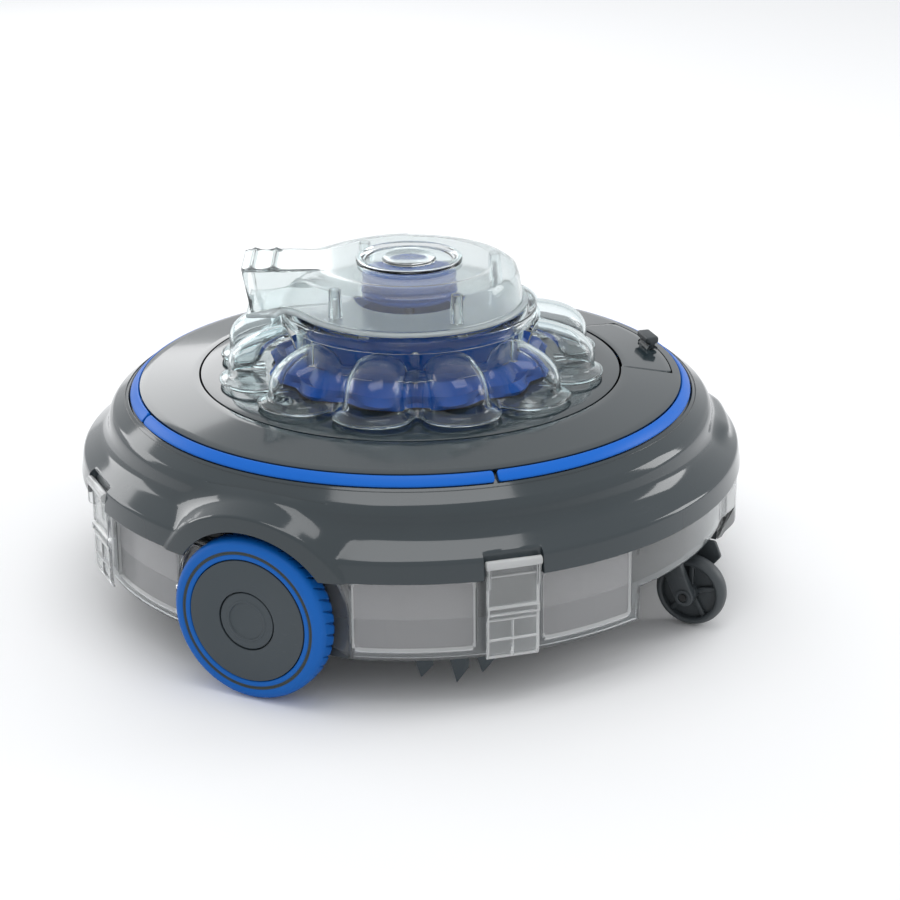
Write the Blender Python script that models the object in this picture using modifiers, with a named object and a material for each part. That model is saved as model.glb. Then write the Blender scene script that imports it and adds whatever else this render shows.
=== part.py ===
# Jet-driven pool cleaner: a round robot with a clear debris bin, a lift-off grey shell and a
# swivelling clear pump nozzle on top.
# Frame: +X is the way it drives, +Y its left side, +Z up. The origin is on the floor, under the
# centre of the body. Angles in the tables below are in degrees, from -Y round towards +X.
import math

import bmesh
import bpy
from mathutils import Matrix, Vector

# Overall sizes, in metres.
RIM_R = 0.2053            # shell skirt, the widest round edge
RIM_Z = 0.0800            # the skirt's lower edge, above the floor
SHELL_RISE = 0.0455       # from the rim up to the blue band
TRAY_Z = 0.0275           # underside of the tray, above the floor

# Walls and clearances.
WALL = 0.0028             # moulded walls
CLEARANCE = 0.0004        # between pieces that seat on each other
BORE_GAP = 0.0003         # round a shaft, pin or screw
PAST = 0.0100             # how far a cutter runs past what it cuts

# Drive wheels.
WHEEL_R = 0.0492
WHEEL_W = 0.0180
WHEEL_PROUD = 0.0009      # wheel face past the skirt
WHEEL_BACK = 0.0030       # gap behind the wheel
HUB_R = 0.0369
CAP_R = 0.0177
AXLE_R = 0.0040
AXLE_HEAD_R = 0.0085
AXLE_Z = WHEEL_R
WHEEL_FACE = RIM_R + WHEEL_PROUD
BAY_Y = WHEEL_FACE - WHEEL_W - WHEEL_BACK
BAY_HALF = WHEEL_R + 0.0078

# Casters.
CASTER_R = 0.0223
CASTER_W = 0.0140
CASTER_RIM = 0.0055       # depth of the tread ring
CASTER_WEB = 0.0024
CASTER_HUB_R = 0.0050
CASTER_X = RIM_R - 0.0153
CASTER_LEAN = 0.0125      # how far the fork's foot stands inwards of the wheel
PIN_R = 0.0021
FORK_ARM = 0.0055
FORK_BOSS_R = 0.0060
CASTER_BAY_HALF = 0.0660
CASTER_BAY_D = 0.0400
CASTER_BAY_Z = 2 * CASTER_R + 0.0056

# Shell, seen in section; radii step in from the rim, heights step down from the band.
BAND_Z = RIM_Z + SHELL_RISE
BAND_R = RIM_R - 0.0313
BAND_W = 0.0060
BAND_DROP = 0.0062        # how much higher the band's inner edge is
BAND_T = 0.0020
BAND_GAP = 0.45           # half the gap between two strips, in degrees
EDGE_R = RIM_R - 0.0213
EDGE_DROP = 0.0065
VALLEY_R = RIM_R - 0.0180
VALLEY_DROP = 0.0185
CREASE_R = RIM_R - 0.0017
SIDE_H = 0.0125
ARCH_GAP = 0.0045         # wheel to arch lip
ARCH_FACE = 0.0095        # width of the arch's face
ARCH_DEPTH = 0.0045       # thickness of that face

# Deck on top of the shell.
SPLIT_R = 0.1300          # seam between the outer deck ring and the centre plate
DECK_RISE = 0.0052        # how much higher the seam is than the deck's outer edge
DECK_T = 0.0030
DECK_EDGE_T = 0.0022
PLATE_HOLE_R = 0.0560
PLATE_RISE = 0.0016
HATCH_ANGLE = 133.5
HATCH_HALF = 18.5
HATCH_OUTER = 0.0055      # the hatch's outer edge, in from the deck's edge
HATCH_SEAM = 0.0006
TAB_L = 0.0170
TAB_H = 0.0085
TAB_STEM_W = 0.0048
TAB_GRIP_W = 0.0084
TAB_GRIP_H = 0.0042

# Debris bin, tray and bulkhead.
BIN_R = RIM_R - 0.0095
BIN_TOP = RIM_Z + 0.0040
GASKET_H = 0.0022
BULKHEAD_T = 0.0030
BULKHEAD_EYE_R = 0.0300
SCREEN_R = 0.0450
SCREEN_T = 0.0020
SCREEN_SLOTS = 8
MOUTH_X = 0.0800
MOUTH_L = 0.0900
MOUTH_W = 0.0220
FLAP_T = 0.0020
FLAP_LAP = 0.0030         # how far a flap reaches past its mouth
# angle, radius and drop of each blade
FLOOR_FINS = ((29.0, 0.1770, 0.0170), (35.5, 0.1790, 0.0205), (40.5, 0.1770, 0.0165))
FLOOR_FIN_T = 0.0026

# Latches.
LATCH_ANGLES = (43.5, 139.5, 223.5, 319.5)
LATCH_W = 0.0310
LATCH_T = 0.0034
LATCH_BAR_R = 0.0028
LATCH_R = RIM_R - 0.0021
LATCH_Z = RIM_Z + 0.0085
LATCH_FOOT_Z = TRAY_Z + 0.0020
CATCH_Z = 0.0575
CATCH_H = 0.0030
CATCH_L = 0.0240

# Pump housing, lobed cover and swivel collar.
SHELF_Z = BAND_Z + 0.0257            # shoulder of the pump housing
COLLAR_Z = SHELF_Z + 0.0193
COLLAR_TOP = COLLAR_Z + 0.0087
COLLAR_R = 0.0783
TUBE_R = 0.0702
TUBE_T = 0.0020
LOBES = 12
LOBE_ANGLE = 14.5
LOBE_STEPS = 4
COVER_WALL = 0.0020
POSTS = 6
POST_R = 0.0024
INLET_R = 0.0340
MOTOR_R = 0.0240
SEAL_R = 0.0100
SHAFT_R = 0.0030

# What the body holds: length, width and height.
BATTERY = (0.1200, 0.0460, 0.0326)
BOARD = (0.0900, 0.0500, 0.0016)
CARRIER = (0.0800, 0.0440, 0.0052)
BAY_CENTRE = 0.0950                  # battery and board, off the centre line

# Volute and its nozzle.
VOLUTE_R = 0.0700
VOLUTE_TOP = COLLAR_TOP + 0.0263
VOLUTE_EDGE = 0.0090                 # sloping edge round the drum's top
VOLUTE_WALL = 0.0022
FLANGE_T = 0.0024
FLANGE_LIP = 0.0022
NOZZLE_ANGLE = -63.5
NOZZLE_L = 0.1015
NOZZLE_W = 0.0420
NOZZLE_ROOT_W = 0.0560
NOZZLE_SPREAD = 0.0040               # flare of the duct where it meets the drum's middle
NOZZLE_SHIFT = -0.0035               # the nozzle's centre line, off the swivel axis
WINDOW_R = 0.0327
WINDOW_LEDGE = 0.0050
WINDOW_TOP = VOLUTE_TOP + 0.0027
IMPELLER_R = 0.0290
BLADES = 8
BLADE_T = 0.0018
SCREW_R = 0.0016
SCREW_HEAD_R = 0.0030
SCREW_L = 0.0150
BOSS_R = 0.0042
SCREW_ANGLES = (55, 145, 235, 340)
SCREW_CIRCLE = TUBE_R - TUBE_T - SCREW_HEAD_R - 0.0052

LARGE, MEDIUM, SMALL = 48, 32, 16    # segments round a turned piece


def polar(radius, angle, z=0.0):
    a = math.radians(angle)
    return Vector((radius * math.sin(a), -radius * math.cos(a), z))


AXLE_LINE = Matrix.Rotation(math.pi / 2, 4, 'X')     # local +Z points to -Y


def turned_to(angle):
    # local +X points outwards at this angle
    return Matrix.Rotation(math.radians(angle - 90), 4, 'Z')


# ---- scene and materials
for old in list(bpy.data.objects):
    bpy.data.objects.remove(old)
parts = bpy.data.collections.new("pool_cleaner")
guides = bpy.data.collections.new("cutters")
bpy.context.scene.collection.children.link(parts)
bpy.context.scene.collection.children.link(guides)


def material(name, colour, roughness, metallic=0.0, alpha=1.0):
    made = bpy.data.materials.new(name)
    made.use_nodes = True
    shader = made.node_tree.nodes["Principled BSDF"]
    shader.inputs["Base Color"].default_value = (*colour, 1.0)
    shader.inputs["Roughness"].default_value = roughness
    shader.inputs["Metallic"].default_value = metallic
    shader.inputs["Alpha"].default_value = alpha
    made.diffuse_color = (*colour, alpha)
    return made


GREY = ((0.075, 0.092, 0.102), 0.22)
DARK = ((0.035, 0.045, 0.050), 0.35)
BLUE = ((0.004, 0.145, 0.62), 0.35)
CLEAR = ((0.80, 0.84, 0.84), 0.08, 0.0, 0.35)
BLACK = ((0.012, 0.012, 0.013), 0.6)
STEEL = ((0.62, 0.62, 0.63), 0.25, 1.0)
BOARD_GREEN = ((0.02, 0.18, 0.07), 0.5)


def finish(obj, name, look, smooth=35):
    obj.name = name
    obj.data.name = name
    if obj.name not in parts.objects:
        parts.objects.link(obj)
    obj.data.materials.clear()
    obj.data.materials.append(material(name, *look))
    obj.data.shade_smooth()
    obj.data.set_sharp_from_angle(angle=math.radians(smooth))
    return obj


def as_guide(obj):
    obj.hide_render = True
    obj.display_type = 'WIRE'
    guides.objects.link(obj)
    return obj


def place(obj, matrix, parent=None):
    obj.matrix_world = matrix
    if parent is not None:
        obj.parent = parent
        obj.matrix_parent_inverse = parent.matrix_world.inverted()
    return obj


def empty(name, matrix):
    pivot = bpy.data.objects.new(name, None)
    pivot.empty_display_size = 0.02
    guides.objects.link(pivot)
    pivot.matrix_world = matrix
    return pivot


def from_bmesh(bm, name):
    bmesh.ops.recalc_face_normals(bm, faces=bm.faces)
    mesh = bpy.data.meshes.new(name)
    bm.to_mesh(mesh)
    bm.free()
    return bpy.data.objects.new(name, mesh)


# ---- shape makers
def turned(name, profile, segments=MEDIUM, closed=True):
    # profile points are (radius, height), down the outer side and up the inner one
    mesh = bpy.data.meshes.new(name)
    count = len(profile)
    last = count if closed else count - 1
    edges = [(i, (i + 1) % count) for i in range(last)]
    mesh.from_pydata([(r, 0, z) for r, z in profile], edges, [])
    obj = bpy.data.objects.new(name, mesh)
    screw = obj.modifiers.new("turn", 'SCREW')
    screw.axis = 'Z'
    screw.angle = math.tau
    screw.steps = segments
    screw.render_steps = segments
    screw.use_merge_vertices = True
    screw.merge_threshold = 0.00001
    screw.use_smooth_shade = True
    return obj


def solid_of_turn(name, profile, segments=MEDIUM):
    # the profile starts and ends on the axis
    return turned(name, profile, segments, closed=False)


def ring_profile(outer, inner, low, high):
    return [(outer, high), (outer, low), (inner, low), (inner, high)]


def box(name, low, high):
    low, high = Vector(low), Vector(high)
    bm = bmesh.new()
    bmesh.ops.create_cube(bm, size=1.0)
    bmesh.ops.scale(bm, vec=high - low, verts=bm.verts)
    bmesh.ops.translate(bm, vec=(low + high) / 2, verts=bm.verts)
    return from_bmesh(bm, name)


def rods(name, spots, radius, low, high, segments=SMALL):
    # upright round bars, all in one mesh
    bm = bmesh.new()
    for spot in spots:
        made = bmesh.ops.create_cone(bm, cap_ends=True, segments=segments, radius1=radius,
                                     radius2=radius, depth=high - low)
        bmesh.ops.translate(bm, vec=(spot[0], spot[1], (low + high) / 2), verts=made["verts"])
    return from_bmesh(bm, name)


def flat_outline(name, points, thickness):
    # a filled outline in the local XY plane, as thick as given about that plane
    curve = bpy.data.curves.new(name, 'CURVE')
    curve.dimensions = '2D'
    curve.fill_mode = 'BOTH'
    curve.extrude = thickness / 2
    spline = curve.splines.new('POLY')
    spline.points.add(len(points) - 1)
    for point, (x, y) in zip(spline.points, points):
        point.co = (x, y, 0, 1)
    spline.use_cyclic_u = True
    drawn = bpy.data.objects.new(name, curve)
    guides.objects.link(drawn)
    bpy.context.view_layer.update()
    evaluated = drawn.evaluated_get(bpy.context.evaluated_depsgraph_get())
    shape = bpy.data.meshes.new_from_object(evaluated)
    bpy.data.objects.remove(drawn)
    bm = bmesh.new()
    bm.from_mesh(shape)
    bmesh.ops.remove_doubles(bm, verts=bm.verts, dist=0.00001)
    return from_bmesh(bm, name)


def arc(radius, start, end, steps, centre=(0.0, 0.0)):
    angles = [math.radians(start + (end - start) * i / steps) for i in range(steps + 1)]
    return [(centre[0] + radius * math.cos(a), centre[1] + radius * math.sin(a)) for a in angles]


def swept_section(name, section, start, end, steps):
    # a closed section in the local XZ plane, carried round Z from one angle to the other
    bm = bmesh.new()
    face = bm.faces.new([bm.verts.new((r, 0, z)) for r, z in section])
    bmesh.ops.rotate(bm, matrix=Matrix.Rotation(math.radians(start - 90), 3, 'Z'), verts=bm.verts)
    around = face.verts[:] + face.edges[:] + [face]
    bmesh.ops.spin(bm, geom=around, cent=(0, 0, 0), axis=(0, 0, 1),
                   angle=math.radians(end - start), steps=steps)
    return from_bmesh(bm, name)


def boolean(obj, operation, other):
    mod = obj.modifiers.new(operation.lower(), 'BOOLEAN')
    mod.operation = operation
    mod.object = other
    mod.solver = 'EXACT'
    if other.name not in guides.objects:
        as_guide(other)
    return obj


def cut(obj, *others):
    for other in others:
        boolean(obj, 'DIFFERENCE', other)
    return obj


def add(obj, *others):
    for other in others:
        boolean(obj, 'UNION', other)
    return obj


def lobed_loft(name, crest, hollow, wall, steps):
    # rows of points round the axis, swelling from the hollow's radius to the crest's at each lobe
    rows = []
    for side in (0.0, wall):
        pairs = list(zip(crest, hollow))
        if side:
            pairs.reverse()
        rows += [[(a[0] - side, a[1]), (b[0] - side, b[1])] for a, b in pairs]
    count = LOBES * steps
    bm = bmesh.new()
    grid = []
    for (crest_r, crest_z), (low_r, low_z) in rows:
        line = []
        for k in range(count):
            swell = (0.5 + 0.5 * math.cos(math.tau * k / steps)) ** 0.6
            radius = low_r + (crest_r - low_r) * swell
            z = low_z + (crest_z - low_z) * swell
            line.append(bm.verts.new(polar(radius, LOBE_ANGLE + 360 * k / count, z)))
        grid.append(line)
    for i, line in enumerate(grid):
        above = grid[(i + 1) % len(grid)]
        for k in range(count):
            n = (k + 1) % count
            bm.faces.new((line[k], line[n], above[n], above[k]))
    return from_bmesh(bm, name)


# ---- shared cutters
def wheel_bay(name, side, grow, inner_y):
    # room for a drive wheel: round above the axle and straight below it
    half = BAY_HALF + grow
    outline = [(half, -PAST)] + arc(half, 0, 180, 18, (0, AXLE_Z)) + [(-half, -PAST)]
    depth = RIM_R + PAST - inner_y
    bay = flat_outline(name, outline, depth)
    bay.matrix_world = Matrix.Translation((0, side * (inner_y + depth / 2), 0)) @ AXLE_LINE
    return bay


def wheel_bays(tag, grow):
    return [wheel_bay(f"{tag}_bay_{side}", side, grow, BAY_Y - grow) for side in (-1, 1)]


def caster_bays(tag, grow, top):
    inner = CASTER_X - CASTER_BAY_D - grow
    half = CASTER_BAY_HALF + grow
    front = box(tag + "_front", (inner, -half, -PAST), (RIM_R + PAST, half, top + grow))
    rear = box(tag + "_rear", (-RIM_R - PAST, -half, -PAST), (-inner, half, top + grow))
    return [front, rear]


def axle_bore(name, side):
    bore = rods(name, [(0, 0)], AXLE_R + 0.0005, -2 * PAST, 2 * PAST)
    bore.matrix_world = Matrix.Translation((0, side * BAY_Y, AXLE_Z)) @ AXLE_LINE
    return bore


# ---- hull: tray, clear bin, gaskets
def base_tray():
    radius = BIN_R - WALL - CLEARANCE
    top = CASTER_BAY_Z + WALL
    floor = TRAY_Z + WALL
    tray = solid_of_turn("tray", [(0, top), (radius, top), (radius, TRAY_Z), (0, TRAY_Z)], LARGE)
    hollow = solid_of_turn("tray_hollow", [(0, top + PAST), (radius - WALL, top + PAST),
                                           (radius - WALL, floor), (0, floor)], LARGE)
    cut(hollow, *wheel_bays("tray_wall", WALL), *caster_bays("tray_wall", WALL, CASTER_BAY_Z))
    cut(tray, hollow, *wheel_bays("tray", CLEARANCE), *caster_bays("tray", 0.0, CASTER_BAY_Z))
    for side in (-1, 1):
        cut(tray, axle_bore(f"axle_saddle_{side}", side))
        x = side * MOUTH_X
        cut(tray, box(f"mouth_{side}", (x - MOUTH_W / 2, -MOUTH_L / 2, TRAY_Z - PAST),
                      (x + MOUTH_W / 2, MOUTH_L / 2, floor + PAST / 2)))
    finish(tray, "base_tray", DARK)


def clear_bin():
    inner_r = BIN_R - WALL
    outer = solid_of_turn("bin", [(0, BIN_TOP), (BIN_R, BIN_TOP), (BIN_R, TRAY_Z), (0, TRAY_Z)], LARGE)
    inside = solid_of_turn("bin_inside", [(0, BIN_TOP + PAST), (inner_r, BIN_TOP + PAST),
                                          (inner_r, TRAY_Z - PAST), (0, TRAY_Z - PAST)], LARGE)
    cut(inside, *wheel_bays("bin_wall", 0.0))
    for angle in LATCH_ANGLES:
        reach = LATCH_R - LATCH_BAR_R - 0.0008
        catch = box(f"catch_{angle}", (BIN_R - 0.001, -CATCH_L / 2, CATCH_Z - CATCH_H / 2),
                    (reach, CATCH_L / 2, CATCH_Z + CATCH_H / 2))
        catch.matrix_world = turned_to(angle)
        add(outer, catch)
    open_bays = [wheel_bay(f"bin_open_{side}", side, -WALL, BAY_Y + WALL) for side in (-1, 1)]
    cut(outer, *open_bays, *caster_bays("bin_notch", CLEARANCE, CASTER_BAY_Z))
    for side in (-1, 1):
        add(inside, axle_bore(f"axle_bore_{side}", side))
    cut(outer, inside)
    finish(outer, "clear_bin", CLEAR)


def bin_gaskets():
    inner_r = BIN_R - WALL
    low = BIN_TOP + CLEARANCE
    section = ring_profile(BIN_R - 0.0002, inner_r + 0.0002, low, low + GASKET_H)
    bay_edge = math.degrees(math.asin(BAY_HALF / inner_r)) + 1.0
    for tag, start in (("front", 0), ("rear", 180)):
        strip = swept_section("gasket", section, start + bay_edge, start + 180 - bay_edge, 36)
        finish(strip, "bin_gasket_" + tag, BLACK)


# ---- running gear
def axle_frame(side, x=0.0, z=AXLE_Z):
    # local +Z points outwards along the wheel's axle
    turn = AXLE_LINE if side < 0 else Matrix.Rotation(-math.pi / 2, 4, 'X')
    return Matrix.Translation((x, 0, z)) @ turn


def drive_wheel(side, tag):
    face = WHEEL_FACE
    back = face - WHEEL_W
    bore = AXLE_R + BORE_GAP
    web = face - 0.0035
    frame = axle_frame(side)
    pivot = empty(tag + "_wheel_axis", frame)
    seat = HUB_R + CLEARANCE
    tyre = turned("tyre", [(seat, face), (WHEEL_R - 0.0038, face), (WHEEL_R, face - 0.0050),
                           (WHEEL_R, back + 0.0030), (WHEEL_R - 0.0030, back), (seat, back)], LARGE)
    place(finish(tyre, tag + "_tyre", BLUE), frame, pivot)
    hub = turned("hub", [(CAP_R, face), (HUB_R, face), (HUB_R, back), (bore, back), (bore, web),
                         (CAP_R, web)], MEDIUM)
    place(finish(hub, tag + "_hub", DARK), frame, pivot)
    cap_edge = CAP_R - CLEARANCE
    cap_back = web + 0.0005
    cap = solid_of_turn("cap", [(0, face), (cap_edge, face), (cap_edge, cap_back), (0, cap_back)], MEDIUM)
    place(finish(cap, tag + "_hub_cap", DARK), frame, pivot)
    head = BAY_Y - WALL - CLEARANCE - BORE_GAP
    foot = head - 0.0040
    end = web - 0.0005
    axle = solid_of_turn("axle", [(0, end), (AXLE_R, end), (AXLE_R, head), (AXLE_HEAD_R, head),
                                  (AXLE_HEAD_R, foot), (0, foot)], SMALL)
    place(finish(axle, tag + "_axle", STEEL), frame)


def caster(sign, tag):
    # local frame: +X outwards from the body, turned round for the rear one
    turn = Matrix.Rotation(0 if sign > 0 else math.pi, 4, 'Z')
    hub_frame = turn @ Matrix.Translation((CASTER_X, 0, CASTER_R)) @ AXLE_LINE
    half = CASTER_W / 2
    rim_in = CASTER_R - CASTER_RIM
    web = CASTER_WEB / 2
    bore = PIN_R + BORE_GAP
    wheel = turned("caster", [(CASTER_R - 0.003, half), (CASTER_R - 0.0006, half * 0.55), (CASTER_R, 0),
                              (CASTER_R - 0.0006, -half * 0.55), (CASTER_R - 0.003, -half),
                              (rim_in, -half * 0.6), (rim_in, -web), (CASTER_HUB_R, -web),
                              (CASTER_HUB_R, -half), (bore, -half), (bore, half), (CASTER_HUB_R, half),
                              (CASTER_HUB_R, web), (rim_in, web), (rim_in, half * 0.6)], 24)
    pivot = empty(tag + "_caster_axis", hub_frame)
    place(finish(wheel, tag + "_caster_wheel", DARK), hub_frame, pivot)

    arm_in = half + 0.0015
    arm_out = arm_in + FORK_ARM
    pin = rods("pin", [(0, 0)], PIN_R, -arm_out - 0.0012, arm_out + 0.0012)
    place(finish(pin, tag + "_caster_pin", STEEL), hub_frame)

    top = CASTER_BAY_Z - CLEARANCE
    foot_x = CASTER_X - CASTER_LEAN
    foot_half = FORK_BOSS_R + 0.0010
    arm_line = [(x + CASTER_X, z + CASTER_R) for x, z in arc(FORK_BOSS_R, -150, 30, 10)]
    arm_line += [(foot_x + foot_half, top), (foot_x - foot_half, top)]
    fork = box("fork", (foot_x - foot_half, -arm_out, top - WALL), (foot_x + foot_half, arm_out, top))
    for side in (-1, 1):
        arm = flat_outline(f"arm_{tag}_{side}", arm_line, FORK_ARM)
        arm.matrix_world = turn @ Matrix.Translation((0, side * (arm_in + arm_out) / 2, 0)) @ AXLE_LINE
        add(fork, arm)
    # a guard fin beside the wheel, on the side away from the floor fins
    fin_line = [(CASTER_X - 0.0100, top), (CASTER_X - 0.0100, top - 0.0168),
                (CASTER_X + 0.0040, top - 0.0208), (CASTER_X + 0.0130, top - 0.0098),
                (CASTER_X + 0.0090, top)]
    fin = flat_outline("fin_" + tag, fin_line, 0.0030)
    fin.matrix_world = turn @ Matrix.Translation((0, arm_out + 0.0010, 0)) @ AXLE_LINE
    add(fork, fin)
    pin_bore = rods("pin_bore_" + tag, [(0, 0)], bore, -arm_out - PAST, arm_out + PAST, 20)
    pin_bore.matrix_world = hub_frame
    cut(fork, pin_bore)
    fork.matrix_world = turn
    finish(fork, tag + "_caster_fork", DARK)


def inlet_flap(sign, tag):
    # lies on the tray over its mouth and opens upwards about its outer edge
    width = MOUTH_W + 2 * FLAP_LAP
    half_l = MOUTH_L / 2 + FLAP_LAP
    hinge = Matrix.Translation((sign * (MOUTH_X + width / 2), 0, TRAY_Z + WALL + CLEARANCE + FLAP_T / 2))
    leaf = box("leaf", (min(0, -sign * width), -half_l, -FLAP_T / 2),
               (max(0, -sign * width), half_l, FLAP_T / 2))
    pivot = empty(tag + "_flap_axis", hinge)
    place(finish(leaf, tag + "_inlet_flap", BLACK), hinge, pivot)


def floor_fins():
    # small rubber blades under the tray, two groups of three
    for group, start in (("right", 0), ("left", 180)):
        for i, (angle, radius, drop) in enumerate(FLOOR_FINS):
            line = [(-0.0065, 0), (0.0065, 0), (0.0060, -drop * 0.55), (-0.0010, -drop)]
            blade = flat_outline("blade", line, FLOOR_FIN_T)
            foot = Matrix.Translation(polar(radius, angle + start, TRAY_Z - CLEARANCE))
            upright = Matrix.Rotation(math.pi / 2, 4, 'Z') @ AXLE_LINE
            blade.matrix_world = foot @ turned_to(angle + start) @ upright
            finish(blade, f"floor_fin_{group}_{i + 1}", BLACK)


# ---- lift-off shell
def shell_outside():
    edge = BAND_Z - EDGE_DROP
    valley = BAND_Z - VALLEY_DROP
    crease = RIM_Z + SIDE_H
    seat_r = BAND_R - BAND_W
    return [(0, BAND_Z + BAND_DROP), (seat_r, BAND_Z + BAND_DROP - BAND_T - 0.0010),
            (BAND_R - 0.0002, BAND_Z - 0.0025), (BAND_R + CLEARANCE, BAND_Z), (EDGE_R, edge),
            (VALLEY_R - 0.0010, valley + 0.0045), (VALLEY_R + 0.0022, valley - 0.0015),
            (CREASE_R - 0.0060, crease + 0.0055), (CREASE_R, crease), (RIM_R, RIM_Z), (0, RIM_Z)]


def shell_inside():
    edge = BAND_Z - EDGE_DROP
    valley = BAND_Z - VALLEY_DROP
    crease = RIM_Z + SIDE_H
    seat_in = BAND_R - BAND_W - WALL
    return [(0, BAND_Z + 2 * PAST), (seat_in, BAND_Z + 2 * PAST), (seat_in, BAND_Z - 0.0005),
            (EDGE_R - WALL, edge - 0.0030), (VALLEY_R - WALL - 0.0010, valley + 0.0030),
            (VALLEY_R - 0.0010, valley - 0.0045), (CREASE_R - WALL - 0.0060, crease + 0.0020),
            (CREASE_R - WALL, crease - 0.0025), (RIM_R - WALL, RIM_Z - PAST), (0, RIM_Z - PAST)]


def top_shell():
    body = solid_of_turn("top_shell", shell_outside(), LARGE)
    hood_r = WHEEL_R + ARCH_GAP + ARCH_FACE
    over = Matrix.Translation((0, 0, AXLE_Z)) @ AXLE_LINE
    hood = rods("hood", [(0, 0)], hood_r, -RIM_R - PAST, RIM_R + PAST, LARGE)
    hood.matrix_world = over
    drum = rods("hood_limit", [(0, 0)], RIM_R + 0.0008, RIM_Z - 0.0008, BAND_Z - 0.003, LARGE)
    boolean(hood, 'INTERSECT', drum)
    add(body, hood)

    hollow = solid_of_turn("shell_hollow", shell_inside(), LARGE)
    pocket_in = LATCH_R - LATCH_BAR_R - 0.0007
    half = LATCH_W / 2 + 0.0017
    top = LATCH_Z + 0.0090
    for angle in LATCH_ANGLES:
        wall = box(f"pocket_wall_{angle}", (pocket_in - WALL, -half - WALL, RIM_Z - 2 * PAST),
                   (RIM_R + PAST, half + WALL, top + WALL))
        wall.matrix_world = turned_to(angle)
        cut(hollow, wall)
    for angle in LATCH_ANGLES:
        pocket = box(f"pocket_{angle}", (pocket_in, -half, RIM_Z - PAST), (RIM_R + PAST, half, top))
        pocket.matrix_world = turned_to(angle)
        cut(body, pocket)
    reach = RIM_R - ARCH_DEPTH
    room = rods("arch_room", [(0, 0)], hood_r - WALL, -reach, reach, 44)
    room.matrix_world = over
    lip = rods("arch_lip", [(0, 0)], WHEEL_R + ARCH_GAP, -RIM_R - 2 * PAST, RIM_R + 2 * PAST, LARGE)
    lip.matrix_world = over
    cut(body, room, lip, hollow)
    finish(body, "top_shell", GREY)


def band_segments():
    # four blue strips in a groove between the shell and the deck, parted over the latches
    inner_r = BAND_R - BAND_W + CLEARANCE
    inner_z = BAND_Z + BAND_DROP
    section = [(BAND_R, BAND_Z + CLEARANCE), (inner_r, inner_z), (inner_r, inner_z - BAND_T),
               (BAND_R - 0.0014, BAND_Z - 0.0006)]
    ends = LATCH_ANGLES[1:] + (LATCH_ANGLES[0] + 360,)
    for i, (start, end) in enumerate(zip(LATCH_ANGLES, ends)):
        strip = swept_section("strip", section, start + BAND_GAP, end - BAND_GAP, 20)
        finish(strip, f"blue_band_{i + 1}", BLUE)


DECK_EDGE_R = BAND_R - BAND_W - CLEARANCE
DECK_EDGE_Z = BAND_Z + BAND_DROP
SEAM_Z = DECK_EDGE_Z + DECK_RISE
HATCH_R = DECK_EDGE_R - HATCH_OUTER


def deck_z(radius):
    # height of the deck's conical top
    return DECK_EDGE_Z + DECK_RISE * (DECK_EDGE_R - radius) / (DECK_EDGE_R - SPLIT_R)


def deck():
    seam_r = SPLIT_R + BORE_GAP
    ring = turned("deck", [(seam_r, SEAM_Z), (DECK_EDGE_R, DECK_EDGE_Z),
                           (DECK_EDGE_R, DECK_EDGE_Z - DECK_EDGE_T), (seam_r, SEAM_Z - DECK_T)], LARGE)
    section = ring_profile(HATCH_R + HATCH_SEAM, SPLIT_R - 0.004, DECK_EDGE_Z - 2 * PAST,
                           DECK_EDGE_Z + 2 * PAST)
    start, end = HATCH_ANGLE - HATCH_HALF, HATCH_ANGLE + HATCH_HALF
    cut(ring, swept_section("hatch_opening", section, start, end, 12))
    finish(ring, "deck_ring", GREY)

    edge_r = SPLIT_R - CLEARANCE
    plate = turned("plate", [(PLATE_HOLE_R, SEAM_Z + PLATE_RISE), (edge_r, SEAM_Z), (edge_r, SEAM_Z - DECK_T),
                             (PLATE_HOLE_R, SEAM_Z + PLATE_RISE - DECK_T)], LARGE)
    finish(plate, "centre_plate", GREY)


def carry_handle():
    # a flush leaf hinged at its inner edge, with a grip tab near its outer one
    inner = SPLIT_R + 2 * HATCH_SEAM
    side = math.degrees(HATCH_SEAM / SPLIT_R)
    section = [(inner, deck_z(inner)), (HATCH_R, deck_z(HATCH_R)),
               (HATCH_R, deck_z(HATCH_R) - DECK_EDGE_T), (inner, deck_z(inner) - DECK_EDGE_T)]
    start, end = HATCH_ANGLE - HATCH_HALF + side, HATCH_ANGLE + HATCH_HALF - side
    leaf = swept_section("leaf", section, start, end, 12)
    hinge = Matrix.Translation(polar(SPLIT_R + 0.0030, HATCH_ANGLE, deck_z(inner))) @ turned_to(HATCH_ANGLE)
    pivot = empty("handle_axis", hinge)
    leaf.data.transform(hinge.inverted())
    place(finish(leaf, "carry_handle", GREY), hinge, pivot)

    stem_r = HATCH_R - 0.0045
    foot = deck_z(stem_r) + CLEARANCE
    top = deck_z(stem_r) + TAB_H
    stem = box("tab", (stem_r - TAB_STEM_W / 2, -TAB_L / 2, foot),
               (stem_r + TAB_STEM_W / 2, TAB_L / 2, top - TAB_GRIP_H / 2))
    grip = box("grip", (stem_r - TAB_GRIP_W / 2, -TAB_L / 2, top - TAB_GRIP_H),
               (stem_r + TAB_GRIP_W / 2, TAB_L / 2, top))
    grip.matrix_world = turned_to(HATCH_ANGLE)
    add(stem, grip)
    place(finish(stem, "handle_tab", DARK), turned_to(HATCH_ANGLE), pivot)


BULKHEAD_Z = BIN_TOP + 2 * CLEARANCE + GASKET_H
FLOOR_Z = BULKHEAD_Z + BULKHEAD_T


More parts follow.
